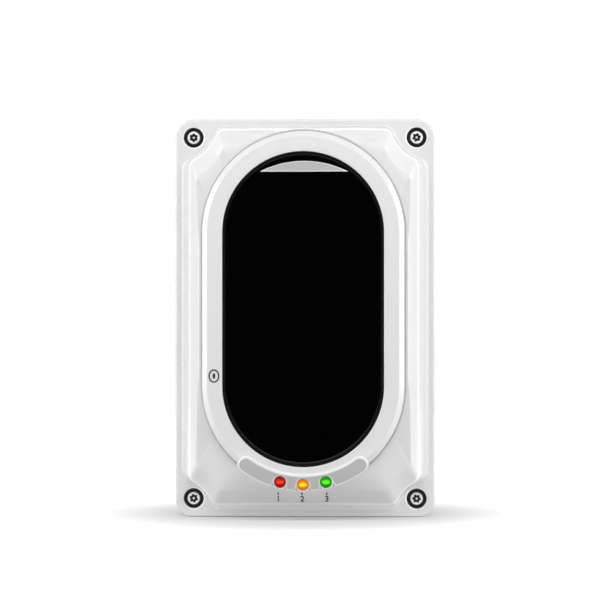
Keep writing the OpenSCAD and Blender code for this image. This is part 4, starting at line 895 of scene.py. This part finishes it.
rings += [
    bend_from * (1 - t) ** 2 + edge_at * 2 * t * (1 - t) + bend_to * t * t for t in (step / 7 for step in range(8))
]
rings += [
    shoulder_ring(edge_outer, oval_outer, edge_z, shoulder_z, share)
    for share in (0.14, 0.2, 0.27, 0.34, 0.42, 0.5, 0.58, 0.66, 0.74, 0.82, 0.9, 0.96, 1.0)
]
rings.append(at_level(oval_outer, shoulder_z))
rings += [
    at_level(on_oval(r), z) for r, z in (
        (groove_r + 0.2, shoulder_z), (groove_r + 0.06, shoulder_z - 0.06), (groove_r, shoulder_z - 0.2),
        (groove_r, seat_z), (seat_r, seat_z), (seat_r, seat_back_z),
    )
]
rings.append(at_level(oval_inner, seat_back_z))
rings += [
    shoulder_ring(edge_inner, oval_inner, edge_z - wall, seat_back_z, share)
    for share in (1.0, 0.8, 0.6, 0.4, 0.2, 0.0)
]
rings += [at_level(foot_inner, z) for z in (flange_z, plate_z)]
rings += [
    at_level(on_slab(inset), z) for inset, z in (
        (ledge_w, plate_z), (ledge_w, ledge_z), (skirt_inset, ledge_z), (skirt_inset, foot_z + 0.3),
        (skirt_inset - 0.3, foot_z),
    )
]
cover = mesh_object(
    "front_cover_moulding", np.concatenate(rings), tube_faces(len(rings), len(foot_outer)), cover_abs
)
screw_places = [(side * screw_x, end * screw_y) for side in (-1, 1) for end in (-1, 1)]
pillars = lathe("pillars", [(pillar_r, ledge_z), (pillar_r, plate_z + 0.6)], cover_abs, 64, screw_places)
cut_by(cover, [pillars], "UNION")
well_profile = [
    (bore_r, ledge_z - 1), (bore_r, well_z), (well_r, well_z), (well_r, flange_z - 0.8),
    (well_r + 0.15, flange_z - 0.35), (well_r + 0.5, flange_z - 0.05), (well_r + 0.75, flange_z + 0.02),
    (well_r + 0.75, flange_z + 0.5),
]
cut_by(cover, [lathe("wells", well_profile, cover_abs, 64, screw_places)])
placed(cover, "front_cover", "front_cover")

# Cover seal
# A flat cord of black rubber that lies on the ledge inside the cover and meets the rim of the back box.
dressed("cover_seal", "rubber_cover_seal", seal_rubber, "front_cover", 0.2)

# Window surround
# A polished oval ring in the same ABS, with a bevelled outer edge. It stands in the cover's seat and holds the window
# from the front.
surround_z, opening_r, rebate_r, rebate_z = 92.0, 39.6, 42.4, 88.6
bevel_w, bevel_h = 2.6, 2.5
surround_abs = finish_of(
    "surround_abs", (0.79, 0.79, 0.785), (0.77, 0.77, 0.77), (0.16, 0.22), grain_size=2600.0, grain_height=0.000003,
    waviness=2.0, coat=0.3, Coat_Roughness=0.06,
)


def softened(profile, radii, steps=5):
    """A closed profile with its corners rounded, each by its own radius"""
    points = [np.array(p, float) for p in profile]
    result = []
    for i, (p, r) in enumerate(zip(points, radii)):
        if r <= 0:
            result.append(p)
            continue
        before, after = points[i - 1] - p, points[(i + 1) % len(points)] - p
        u, v = before / np.linalg.norm(before), after / np.linalg.norm(after)
        half = math.acos(max(-1, min(1, float(u @ v)))) / 2
        back = min(r / math.tan(half), 0.45 * np.linalg.norm(before), 0.45 * np.linalg.norm(after))
        for t in (k / steps for k in range(steps + 1)):
            result.append((p + u * back) * (1 - t) ** 2 + p * 2 * t * (1 - t) + (p + v * back) * t * t)
    return result


def swept_round_window(name, profile, material, capped=False, arc_steps=72, straight_steps=20):
    """A profile of radius and height swept round the window; capped closes an open profile's inner rings"""
    path = []
    for end in (1, -1):
        for k in range(arc_steps):
            a = math.pi * k / arc_steps + (0 if end > 0 else math.pi)
            path.append((window_y + end * window_half, math.cos(a), math.sin(a)))
        for k in range(straight_steps):
            path.append((window_y + end * window_half * (1 - 2 * k / straight_steps), -end, 0))
    points = [(r * out_x, y + r * out_y, z) for r, z in profile for y, out_x, out_y in path]
    return mesh_object(name, points, tube_faces(len(profile), len(path), closed=not capped), material)


surround = swept_round_window(
    "window_surround_ring",
    softened(
        [(rebate_r, seat_z), (surround_r, seat_z), (surround_r, surround_z - bevel_h),
         (surround_r - bevel_w, surround_z), (opening_r, surround_z), (opening_r, rebate_z), (rebate_r, rebate_z)],
        [0.2, 0.4, 0.9, 0.9, 0.6, 0.2, 0.0],
    ),
    surround_abs,
)
placed(surround, "window_surround", "front_cover")

# Window
# A plate of polished black plastic that lets infrared through, stepped to a rim that the retainer holds from behind,
# in a soft black seal that shows as a thin ring.
rim_r, plug_r, window_z, rim_back_z, rim_front_z = 42.1, 38.0, 90.6, 85.8, 88.0
black_window = finish_of(
    "black_window", (0.0006, 0.0006, 0.0008), (0.0004, 0.0004, 0.0005), (0.002, 0.007), grain_size=400.0,
    grain_height=0.0000001, waviness=3.0, patch_size=9.0, IOR=1.38,
)
window_rubber = finish_of(
    "window_rubber", (0.0025, 0.0025, 0.0025), (0.005, 0.005, 0.005), (0.35, 0.5), grain_size=1800.0,
    Specular_IOR_Level=0.14,
)
pane_profile = softened(
    [(0.5, rim_back_z), (rim_r, rim_back_z), (rim_r, rim_front_z), (plug_r, rim_front_z), (plug_r, window_z),
     (plug_r - 0.65, window_z), (plug_r - 1.2, window_z), (0.5, window_z)],
    [0, 0.3, 0.3, 0.0, 0.5, 0, 0, 0],
)
pane = swept_round_window("infrared_window", pane_profile, black_window, capped=True)
placed(pane, "window", "front_cover")
seal_profile = softened(
    [(plug_r + 0.1, rim_front_z), (rim_r, rim_front_z), (rim_r, rebate_z), (opening_r - 0.1, rebate_z),
     (opening_r - 0.1, window_z - 0.1), (plug_r + 0.1, window_z - 0.25)],
    [0, 0, 0, 0, 0.5, 0.5],
)
seal = swept_round_window("window_seal_ring", seal_profile, window_rubber)
placed(seal, "window_seal", "front_cover")

# Reflected card
# A small bright card behind the camera, seen only as the pale crescent near the top of the window. Its outline is the
# crescent's, carried on from the camera by way of the window to the card's plane.
card_y, card_glow, card_edge_glow, card_edge = -2.0, 19.5, 36.0, 0.3
crescent_r, crescent_half, crescent_low, crescent_x = 47.6, 21.5, 71.9, 0.4
card_carry = (-card_y - window_z * mm) / (-camera_place.y - window_z * mm)


def crescent(inset, steps=40):
    """The crescent's outline on the window, inset all round, from its left end over the arc to its right end"""
    centre = crescent_low - math.sqrt(crescent_r ** 2 - crescent_half ** 2)
    r, rise = crescent_r - inset, crescent_low + inset - centre
    ends = math.atan2(math.sqrt(max(r * r - rise ** 2, 0.0)), rise)
    return [(crescent_x + r * math.sin(a), centre + r * math.cos(a)) for a in np.linspace(-ends, ends, steps)]


def on_card(x, y, nearer):
    """Where the ray from the camera that the window reflects at (x, y) meets the card"""
    x, y = x * mm, y * mm
    return x + (x - camera_place.x) * card_carry, card_y + nearer, y + (y - camera_place.z) * card_carry


for name, inset, nearer, strength in (
    ("card_edge", 0.0, 0.0, card_edge_glow), ("card_middle", card_edge, 0.002, card_glow),
):
    card_mesh = bpy.data.meshes.new(name)
    outline = [on_card(x, y, nearer) for x, y in crescent(inset)]
    card_mesh.from_pydata(outline, [], [tuple(range(len(outline)))])
    card_paper = bpy.data.materials.new(name)
    card_paper.use_nodes = True
    card_paper.node_tree.nodes.clear()
    furnish(card_paper.node_tree, light=("Emission", {"Strength": strength}), out=("OutputMaterial",))
    wire(card_paper.node_tree, "light > out")
    card_mesh.materials.append(card_paper)
    card = in_scene(name, card_mesh)
    card.visible_camera = card.visible_diffuse = card.visible_shadow = False

# Window retainer
# A ring in grey nylon behind the window, drawn to the surround by small slotted screws.
dressed("window_retainer", "window_retainer_ring", grey_nylon, "front_cover")
dressed("retainer_screws", "slotted_retainer_screws", plated_steel, "front_cover", 0.15)

# Indicator pod
# A crescent pad moulded in grey-white ABS, clipped over the surround's lower end. Its three holes let the light pipes
# through, and each hole opens downwards in a shallow scoop.
arc_y = window_y - window_half
pod_z, pod_foot, pod_fall, pod_inner, pod_outer = 95.2, 84.3, 1.4, 42.7, 51.4
pod_half_angle, pod_corner, pod_soft, pod_soft_turn, pod_soft_fall = 41.0, 4.0, 1.15, 0.55, 0.8
skirt_in = surround_r + 0.3
pod_middle, pod_half_w = (pod_inner + pod_outer) / 2, (pod_outer - pod_inner) / 2
pod_half_l = pod_middle * math.radians(pod_half_angle)
pipe_place, pipe_step, pipe_r, dome_z = 48.05, 13.5, 2.9, 93.2
collar_foot, collar_ring_r, lip_top = 92.4, 3.5, 94.55
rib_r, rib_from, rib_run, rib_half, rib_spread = 0.3, 0.3, 2.75, 3.5, 1.15
scoop_l, scoop_top_half, scoop_top_depth, scoop_end_half, scoop_end_depth = 5.0, 3.5, 1.0, 5.0, 1.7
pod_abs = finish_of(
    "pod_abs", (0.5, 0.5, 0.5), (0.47, 0.47, 0.47), (0.3, 0.38), grain_size=2400.0, grain_height=0.000006,
    waviness=1.0, coat=0.15, Coat_Roughness=0.12,
)
# The pod's grey is painted whiter along its rounded edges all round and close round each pipe's hole: painted
# highlights.
furnish(
    pod_abs.node_tree, place=("TexCoord",), centred=("Mapping", {"Location": (0, 0, -arc_y * mm)}),
    flat=("Mapping", {"Scale": (1, 0, 1)}), reach=("VectorMath", "LENGTH"), parts=("SeparateXYZ",),
    side=("Math", "ABSOLUTE"), down=("Math", "MULTIPLY", {1: -1.0}), angle=("Math", "ARCTAN2"),
    past_end=("Math", "MULTIPLY_ADD", {1: pod_middle * mm, 2: -(pod_half_l - pod_half_w + 0.2) * mm}),
    past=("Math", "MAXIMUM", {1: 0.0}), across=("Math", "SUBTRACT", {1: (pod_middle + 0.4) * mm}),
    way=("CombineXYZ",), distance=("VectorMath", "LENGTH"), rim=span(3.0 * mm, 3.45 * mm),
    pipe_along=("Math", "MULTIPLY", {1: pipe_place * mm}),
    pipe_side=("Math", "GREATER_THAN", {1: math.radians(pipe_step / 2)}),
    pipe_near=("Math", "MULTIPLY_ADD", {1: -math.radians(pipe_step) * pipe_place * mm}),
    pipe_across=("Math", "SUBTRACT", {1: pipe_place * mm}), pipe_way=("CombineXYZ",),
    pipe_distance=("VectorMath", "LENGTH"), either=("Math", "MAXIMUM"),
    pipe_ring=span((collar_ring_r + 0.1) * mm, (collar_ring_r + 0.3) * mm, 1, 0),
    bright=("Mix", "RGBA", {7: (0.86, 0.86, 0.86, 1)}),
)
wire(
    pod_abs.node_tree, "place.Object > centred > flat > reach.Value > across > way[Y]",
    "flat > parts.X > side > angle > past_end > past > way > distance.Value > rim > either > bright",
    "parts.Z > down > angle[1]", "angle > pipe_along > pipe_near[2]", "angle > pipe_side > pipe_near > pipe_way",
    "reach.Value > pipe_across > pipe_way[Y]", "pipe_way > pipe_distance.Value > pipe_ring > either[1]",
    "tone.Colour > bright[6].2 > shader[Base Color]",
)


def on_pod(u, w, z):
    """A point by its way along the pod and across it, to the view from the front"""
    angle, r = math.radians(270) + u / pod_middle, pod_middle + w
    return r * math.cos(angle), arc_y + r * math.sin(angle), z


def pod_chain(s, steps=9, straight=72):
    """Points and outward directions along the pod's inner (-1) or outer (1) edge, from one end to the other"""
    chain = [(-pod_half_l, 0.0, -1.0, 0.0)]
    for a in np.linspace(0, math.pi / 2, steps + 1):
        c, d = math.cos(a), math.sin(a)
        chain.append((-pod_half_l + pod_corner * (1 - c), s * (pod_half_w - pod_corner * (1 - d)), -c, s * d))
    left, corner = chain[-1][0], chain[::-1]
    chain += [(left - 2 * left * k / straight, s * pod_half_w, 0.0, s) for k in range(1, straight)]
    return chain + [(-u, w, -nu, nw) for u, w, nu, nw in corner]


def pod_top(w):
    return pod_z - pod_fall * (w + pod_half_w) / (2 * pod_half_w)


inner_edge, outer_edge = pod_chain(-1), pod_chain(1)
around = inner_edge + outer_edge[-2:0:-1]
soft_levels, rows = 8, 6
points = [on_pod(u, w, pod_foot) for u, w, nu, nw in around]
for angle in np.linspace(0, math.pi / 2, soft_levels):
    for u, w, nu, nw in around:
        soft = pod_soft - pod_soft_turn * nw
        back, fall = soft * (1 - math.cos(angle)), pod_soft_fall * soft * (1 - math.sin(angle))
        points.append(on_pod(u - nu * back, w - nw * back, pod_top(w - nw * back) - fall))
faces = tube_faces(soft_levels + 1, len(around), closed=False)[:-1]
top_start, columns = soft_levels * len(around), len(inner_edge)
grid = np.zeros((rows + 1, columns), int)
for i in range(columns):
    a, b = top_start + i, top_start + (len(around) - i) % len(around)
    grid[:, i], grid[rows, i] = a, b
    if 0 < i < columns - 1:
        pa, pb = np.array(points[a]), np.array(points[b])
        for j in range(1, rows):
            grid[j, i] = len(points)
            points.append(tuple(pa + (pb - pa) * j / rows))
for j in range(rows):
    for i in range(columns - 1):
        face = list(dict.fromkeys(int(p) for p in (grid[j, i], grid[j, i + 1], grid[j + 1, i + 1], grid[j + 1, i])))
        if len(face) > 2:
            faces.append(tuple(face))
pod = mesh_object("indicator_pod", points, faces, pod_abs)


def sector(name, profile, half_angle, material, steps=48):
    """A closed profile of radius and height turned about the window's lower centre, to each side of straight down"""
    angles = np.radians(np.linspace(270 - half_angle, 270 + half_angle, steps + 1))
    points = [(r * math.cos(a), arc_y + r * math.sin(a), z) for a in angles for r, z in profile]
    return mesh_object(name, points, tube_faces(steps + 1, len(profile), closed=False), material)


def pipe_ways(step):
    """A pipe's middle on the face, and the directions from it outwards and across"""
    angle = math.radians(270 + step * pipe_step)
    out, across = np.array([math.cos(angle), math.sin(angle), 0.0]), np.array([-math.sin(angle), math.cos(angle), 0.0])
    return np.array([0, arc_y, 0]) + pipe_place * out, out, across


pipes = [pipe_ways(step) for step in (-1, 0, 1)]
pipe_middles = [(x, y) for (x, y, _), _, _ in pipes]
forward = np.array([0, 0, 1.0])
under_pod = sector(
    "under_pod",
    [(38.0, 80.0), (skirt_in, 80.0), (skirt_in, surround_z - bevel_h), (surround_r - bevel_w + 0.05, surround_z),
     (38.0, surround_z)],
    60, pod_abs,
)
pod_bores = lathe(
    "pod_bores",
    [(pipe_r + 0.1, pod_foot - 2), (pipe_r + 0.1, collar_foot), (collar_ring_r + 0.05, collar_foot),
     (collar_ring_r + 0.05, pod_z + 1)],
    pod_abs, 48, pipe_middles,
)


def scoop(foot, out, across, steps=96):
    """The cone that opens a pipe's hole downwards across the pod, its axis above the face"""
    points = []
    for along_out, half, depth in ((0.0, scoop_top_half, scoop_top_depth), (scoop_l, scoop_end_half, scoop_end_depth)):
        r = (half ** 2 + depth ** 2) / (2 * depth)
        centre = foot + out * along_out + forward * (pod_top(pipe_place + along_out - pod_middle) - depth + r)
        points += [centre + (across * math.cos(a) + forward * math.sin(a)) * r for a in round_angles(steps)]
    return mesh_object("scoop", points, tube_faces(2, steps, closed=False), pod_abs)


cut_by(pod, [under_pod, pod_bores] + [scoop(*pipe) for pipe in pipes])
placed(pod, "indicator_panel", "front_cover")


def rib_beside(foot, out, across, steps=10, sides=8):
    """A thin rib along one side of a scoop, from the lip to the pod's lower edge, in the whiter ABS as a painted
    highlight on the scoop's edge
    """
    line = []
    for t in (k / steps for k in range(steps + 1)):
        p = foot + out * (rib_from + rib_run * t) + across * (rib_half + rib_spread * t ** 2)
        line.append(p + forward * (pod_top(math.hypot(p[0], p[1] - arc_y) - pod_middle) - 0.02))
    points = []
    for k, p in enumerate(line):
        ahead = line[min(k + 1, steps)] - line[max(k - 1, 0)]
        ahead /= np.linalg.norm(ahead)
        side_way = np.cross(ahead, forward)
        side_way /= np.linalg.norm(side_way)
        up = np.cross(side_way, ahead)
        points += [p + (side_way * math.cos(a) + up * math.sin(a)) * rib_r for a in round_angles(sides)]
    return mesh_object("rib", points, tube_faces(steps + 1, sides, closed=False), surround_abs)


lip_foot = collar_foot + 0.05
lip_profile = [
    (pipe_r + 0.02, lip_foot), (collar_ring_r, lip_foot), (collar_ring_r, lip_top - 0.2),
    (collar_ring_r - 0.12, lip_top - 0.04), (collar_ring_r - 0.3, lip_top), (pipe_r + 0.1, lip_top - 0.15),
    (pipe_r + 0.02, lip_top - 0.3),
]
# Each pipe's lip and the ribs beside its scoop are made in the whiter ABS of the surround, lighter than the pod, as
# painted highlights round the hole and along the scoop's edges.
indicators = ("fire_indicator", "fault_indicator", "alignment_indicator")
for name, place, (foot, out, across) in zip(indicators, pipe_middles, pipes):
    lip = lathe(name + "_lip", lip_profile, surround_abs, 48, [place], ring=True)
    merged(lip, rib_beside(foot, out, -across), rib_beside(foot, out, across))
    placed(lip, "indicator_panel", "front_cover")

# Light pipes
# Three rods of tinted clear plastic with domed ends, pressed into the pod from behind: red for fire, amber for a fault,
# green while the beam is being lined up.
pipe_foot, dome_h, band_w, band_h = 73.2, 2.0, 2.3, 1.2
dome_r = (pipe_r ** 2 + dome_h ** 2) / (2 * dome_h)


def lit_plastic(name, deep, bright, x, y):
    """Tinted glossy plastic that glows faintly by its own emission, with a painted highlight: a band across its middle
    painted paler than its edges
    """
    made = material_of(
        name, Roughness=0.1, Specular_IOR_Level=0.12, Coat_Weight=0.06, Coat_Roughness=0.03, Emission_Strength=0.42
    )
    centring = {"Location": (-x / band_w, 0, -y / band_h), "Scale": (1 / (band_w * mm), 0, 1 / (band_h * mm))}
    furnish(
        made.node_tree, place=("TexCoord",), centred=("Mapping", centring), ball=("VectorMath", "LENGTH"),
        fade=span(0.35, 1.25, 1, 0, "SMOOTHSTEP"), cloud=("TexNoise", {"Scale": 900.0, "Detail": 2.0}),
        soft=("Math", "MULTIPLY_ADD", {1: 0.12}), mixed=("Mix", "RGBA", {6: (*deep, 1), 7: (*bright, 1)}),
    )
    wire(
        made.node_tree, "place.Object > centred > ball.Value > soft[2]", "mixed.2 > shader[Emission Color]",
        "place.Object > cloud > soft > fade > mixed.2 > shader[Base Color]",
    )
    return made


pipe_profile = [(pipe_r - 0.3, pipe_foot), (pipe_r, pipe_foot + 0.3), (pipe_r, dome_z)]
for h in (dome_h * k / 12 for k in range(1, 13)):
    r = math.sqrt(max(dome_r ** 2 - (dome_r - dome_h + h) ** 2, 0.0))
    pipe_profile.append((max(r, 0.05), dome_z + h))
for (x, y), name, slot, deep, bright in zip(
    pipe_middles, indicators, ("red_lens", "amber_lens", "green_lens"),
    ((0.3, 0.0, 0.0), (0.6, 0.17, 0.0), (0.0, 0.26, 0.0)), ((0.7, 0.04, 0.01), (1.0, 0.7, 0.02), (0.12, 0.95, 0.02)),
):
    tint = lit_plastic(name + "_tint", deep, bright, x, y)
    placed(lathe(name + "_light_pipe", pipe_profile, tint, 40, [(x, y)]), name, "front_cover")

# Cover screws
# Four plated M4 screws with a six-lobe recess round a middle pin, so that only the fitter's driver undoes them. Each
# sits on a black rubber seal that keeps it captive in its well when the cover comes off.
head_z, head_r, head_h, shank_r, screw_length, thread_depth, thread_pitch = 55.0, 3.3, 2.4, 2.0, 17.0, 0.42, 0.7
lobe_r, lobe_wave, recess_h, recess_pin_r = 1.95, 0.3, 1.3, 0.6
head_top, screw_end = head_z + head_h, head_z - screw_length
screw_steel = finish_of(
    "screw_steel", (0.98, 0.98, 0.98), (0.9, 0.9, 0.905), (0.34, 0.44), grain_size=900.0, grain_height=0.000004,
    patch_size=260.0, metallic=0.45,
)
# The steel is painted near-black down the walls of the six-lobe recess, round the middle pin, as painted shade, and
# darker towards the head's rim, as a painted dark reflection.
furnish(
    screw_steel.node_tree, place=("TexCoord",), radius=("Group", from_screw), parts=("SeparateXYZ",),
    within_lobes=span((lobe_r + lobe_wave - 0.01) * mm, (lobe_r + lobe_wave + 0.09) * mm, 1, 0),
    off_the_pin=span((recess_pin_r - 0.1) * mm, (recess_pin_r + 0.02) * mm), ring=("Math", "MULTIPLY"),
    below_top=span((0.1 - head_top) * mm, (0.35 - head_top) * mm), head=("Math", "MULTIPLY"),
    above_seat=span(-(head_z + 0.3) * mm, -head_z * mm, 1, 0), recess=("Math", "MULTIPLY"),
    dull_rim=span((head_r - 0.4) * mm, (head_r - 0.1) * mm, 0, 0.92), grime=("Math", "MAXIMUM"),
    dark=("Mix", "RGBA", {7: (0.02, 0.02, 0.021, 1)}),
)
wire(
    screw_steel.node_tree, "place.Object > radius > within_lobes > ring > recess > grime > dark",
    "radius > off_the_pin > ring[1]", "place.Object > parts.Y > below_top > head > recess[1]",
    "parts.Y > above_seat > head[1]", "radius > dull_rim > grime[1]", "tone.Colour > dark[6].2 > shader[Base Color]",
)
screw = lathe(
    "screw",
    [(0.9, screw_end), (shank_r - 0.4, screw_end + 0.9), (shank_r - 0.4, head_z - 1.6), (shank_r, head_z - 1.2),
     (shank_r, head_z), (head_r - 0.15, head_z), (head_r, head_z + 0.15), (head_r, head_top - 1.1),
     (head_r - 0.1, head_top - 0.7), (head_r - 0.3, head_top - 0.38), (head_r - 0.55, head_top - 0.14),
     (head_r - 0.85, head_top), (0.05, head_top)],
    screw_steel,
)
lobes = [(lobe_r + lobe_wave * math.cos(6 * a), a) for a in round_angles(72)]
recess_points = [
    (r * math.cos(a), r * math.sin(a), z) for z in (head_top - recess_h, head_top + 1) for r, a in lobes
]
cut_by(screw, [mesh_object("recess", recess_points, tube_faces(2, len(lobes), closed=False), screw_steel)])
pin_profile = [
    (recess_pin_r, head_top - recess_h - 0.2), (recess_pin_r, head_top - 0.3), (recess_pin_r - 0.12, head_top - 0.15),
    (0.05, head_top - 0.12),
]
winding = ridge(shank_r, shank_r - thread_depth, thread_pitch, screw_end + 1.2, head_z - 1.9, screw_steel, 24)
merged(screw, lathe("pin", pin_profile, screw_steel, 20), winding)
screws_at = [(x, y, 0) for x, y in screw_places]
cover_screws = repeated("six_lobe_cover_screws", screw, screws_at, screw_steel, [0.3, 0.55, 0.1, 0.8])
placed(cover_screws, "cover_screws", "front_cover")
screw_seal = lathe(
    "screw_seal",
    [(shank_r + 0.05, well_z), (well_r - 0.1, well_z), (well_r - 0.1, head_z - 0.25), (well_r - 0.35, head_z),
     (shank_r + 0.05, head_z)],
    seal_rubber, ring=True,
)
placed(repeated("rubber_screw_seals", screw_seal, screws_at, seal_rubber), "screw_seals", "front_cover")

# Printed marks
# Pad-printed in black on the cover: a short line and a plain number under each light on the shoulder, and a small ring
# with a dot beside the window, on the surround.
print_ink = finish_of(
    "print_ink", (0.008, 0.008, 0.008), (0.014, 0.014, 0.014), (0.35, 0.5), grain_size=5000.0, grain_height=0.000002
)
ink_t, ink_lift = 0.04, 0.015
mark_x, mark_y, mark_w, mark_h, mark_line, mark_dot = -43.6, -28.2, 5.4, 6.6, 0.7, 0.65
tick_w, tick_top, tick_foot, number_y, number_h = 0.35, -85.7, -86.9, -89.1, 3.0


def ellipse(a, b, steps=40):
    """An ellipse about the middle of the ring mark"""
    return [(mark_x + a * math.cos(t), mark_y + b * math.sin(t)) for t in round_angles(steps)]


def flat_print(outline):
    """Points and faces of a flat outline as thick as the ink"""
    return [(x, y, z) for z in (0.0, ink_t) for x, y in outline], tube_faces(2, len(outline), closed=False)


def ring_print(outer, inner):
    """Points and faces of a flat ring as thick as the ink"""
    loops = ((outer, 0.0), (inner, 0.0), (inner, ink_t), (outer, ink_t))
    return [(x, y, z) for loop, z in loops for x, y in loop], tube_faces(4, len(outer))


def number_print(text, x, y, height):
    """Points and faces of a plain number, its middle at a place of the view from the front"""
    curve = bpy.data.curves.new("number", "FONT")
    curve.body, curve.size, curve.extrude, curve.offset, curve.resolution_u = text, height * 1.4, ink_t / 2, 0.09, 3
    curve.align_x, curve.align_y = "CENTER", "CENTER"
    holder = in_scene("number", curve)
    bpy.context.view_layer.update()
    data = bpy.data.meshes.new_from_object(holder.evaluated_get(bpy.context.evaluated_depsgraph_get()))
    points = [(x + v.co.x, y + v.co.y, v.co.z + ink_t / 2) for v in data.vertices]
    faces = [tuple(p.vertices) for p in data.polygons]
    bpy.data.objects.remove(holder)
    bpy.data.curves.remove(curve)
    bpy.data.meshes.remove(data)
    return points, faces


def shoulder_height(x, y):
    """The height of the cover's surface at a place, from a ray cast on the finished moulding"""
    hit, where, _, _ = cover.ray_cast(Vector((x * mm, -0.2, y * mm)), Vector((0, 1, 0)))
    return -where.y / mm if hit else shoulder_z


def laid(name, marks, height_at):
    """One piece of print from several marks, each point laid on the surface under it"""
    points, faces = [], []
    for mark_points, mark_faces in marks:
        faces += [tuple(len(points) + i for i in face) for face in mark_faces]
        points += [(x, y, z + height_at(x, y) + ink_lift) for x, y, z in mark_points]
    return mesh_object(name, points, faces, print_ink)


ring_outline, ring_inside = (ellipse(mark_w / 2 - inset, mark_h / 2 - inset) for inset in (0, mark_line))
ring_mark = [flat_print(ellipse(mark_dot, mark_dot * 2.2, 20)), ring_print(ring_outline, ring_inside)]
placed(
    laid("printed_ring_mark", ring_mark, lambda x, y: surround_z), "window_surround", "front_cover"
)
legend = []
for text, x in (("1", -12.5), ("2", -0.7), ("3", 11.4)):
    tick = [(x + side * tick_w, y) for side, y in ((-1, tick_foot), (1, tick_foot), (1, tick_top), (-1, tick_top))]
    legend += [flat_print(tick), number_print(text, x, number_y, number_h)]
placed(laid("printed_numbers", legend, shoulder_height), "front_cover", "front_cover")
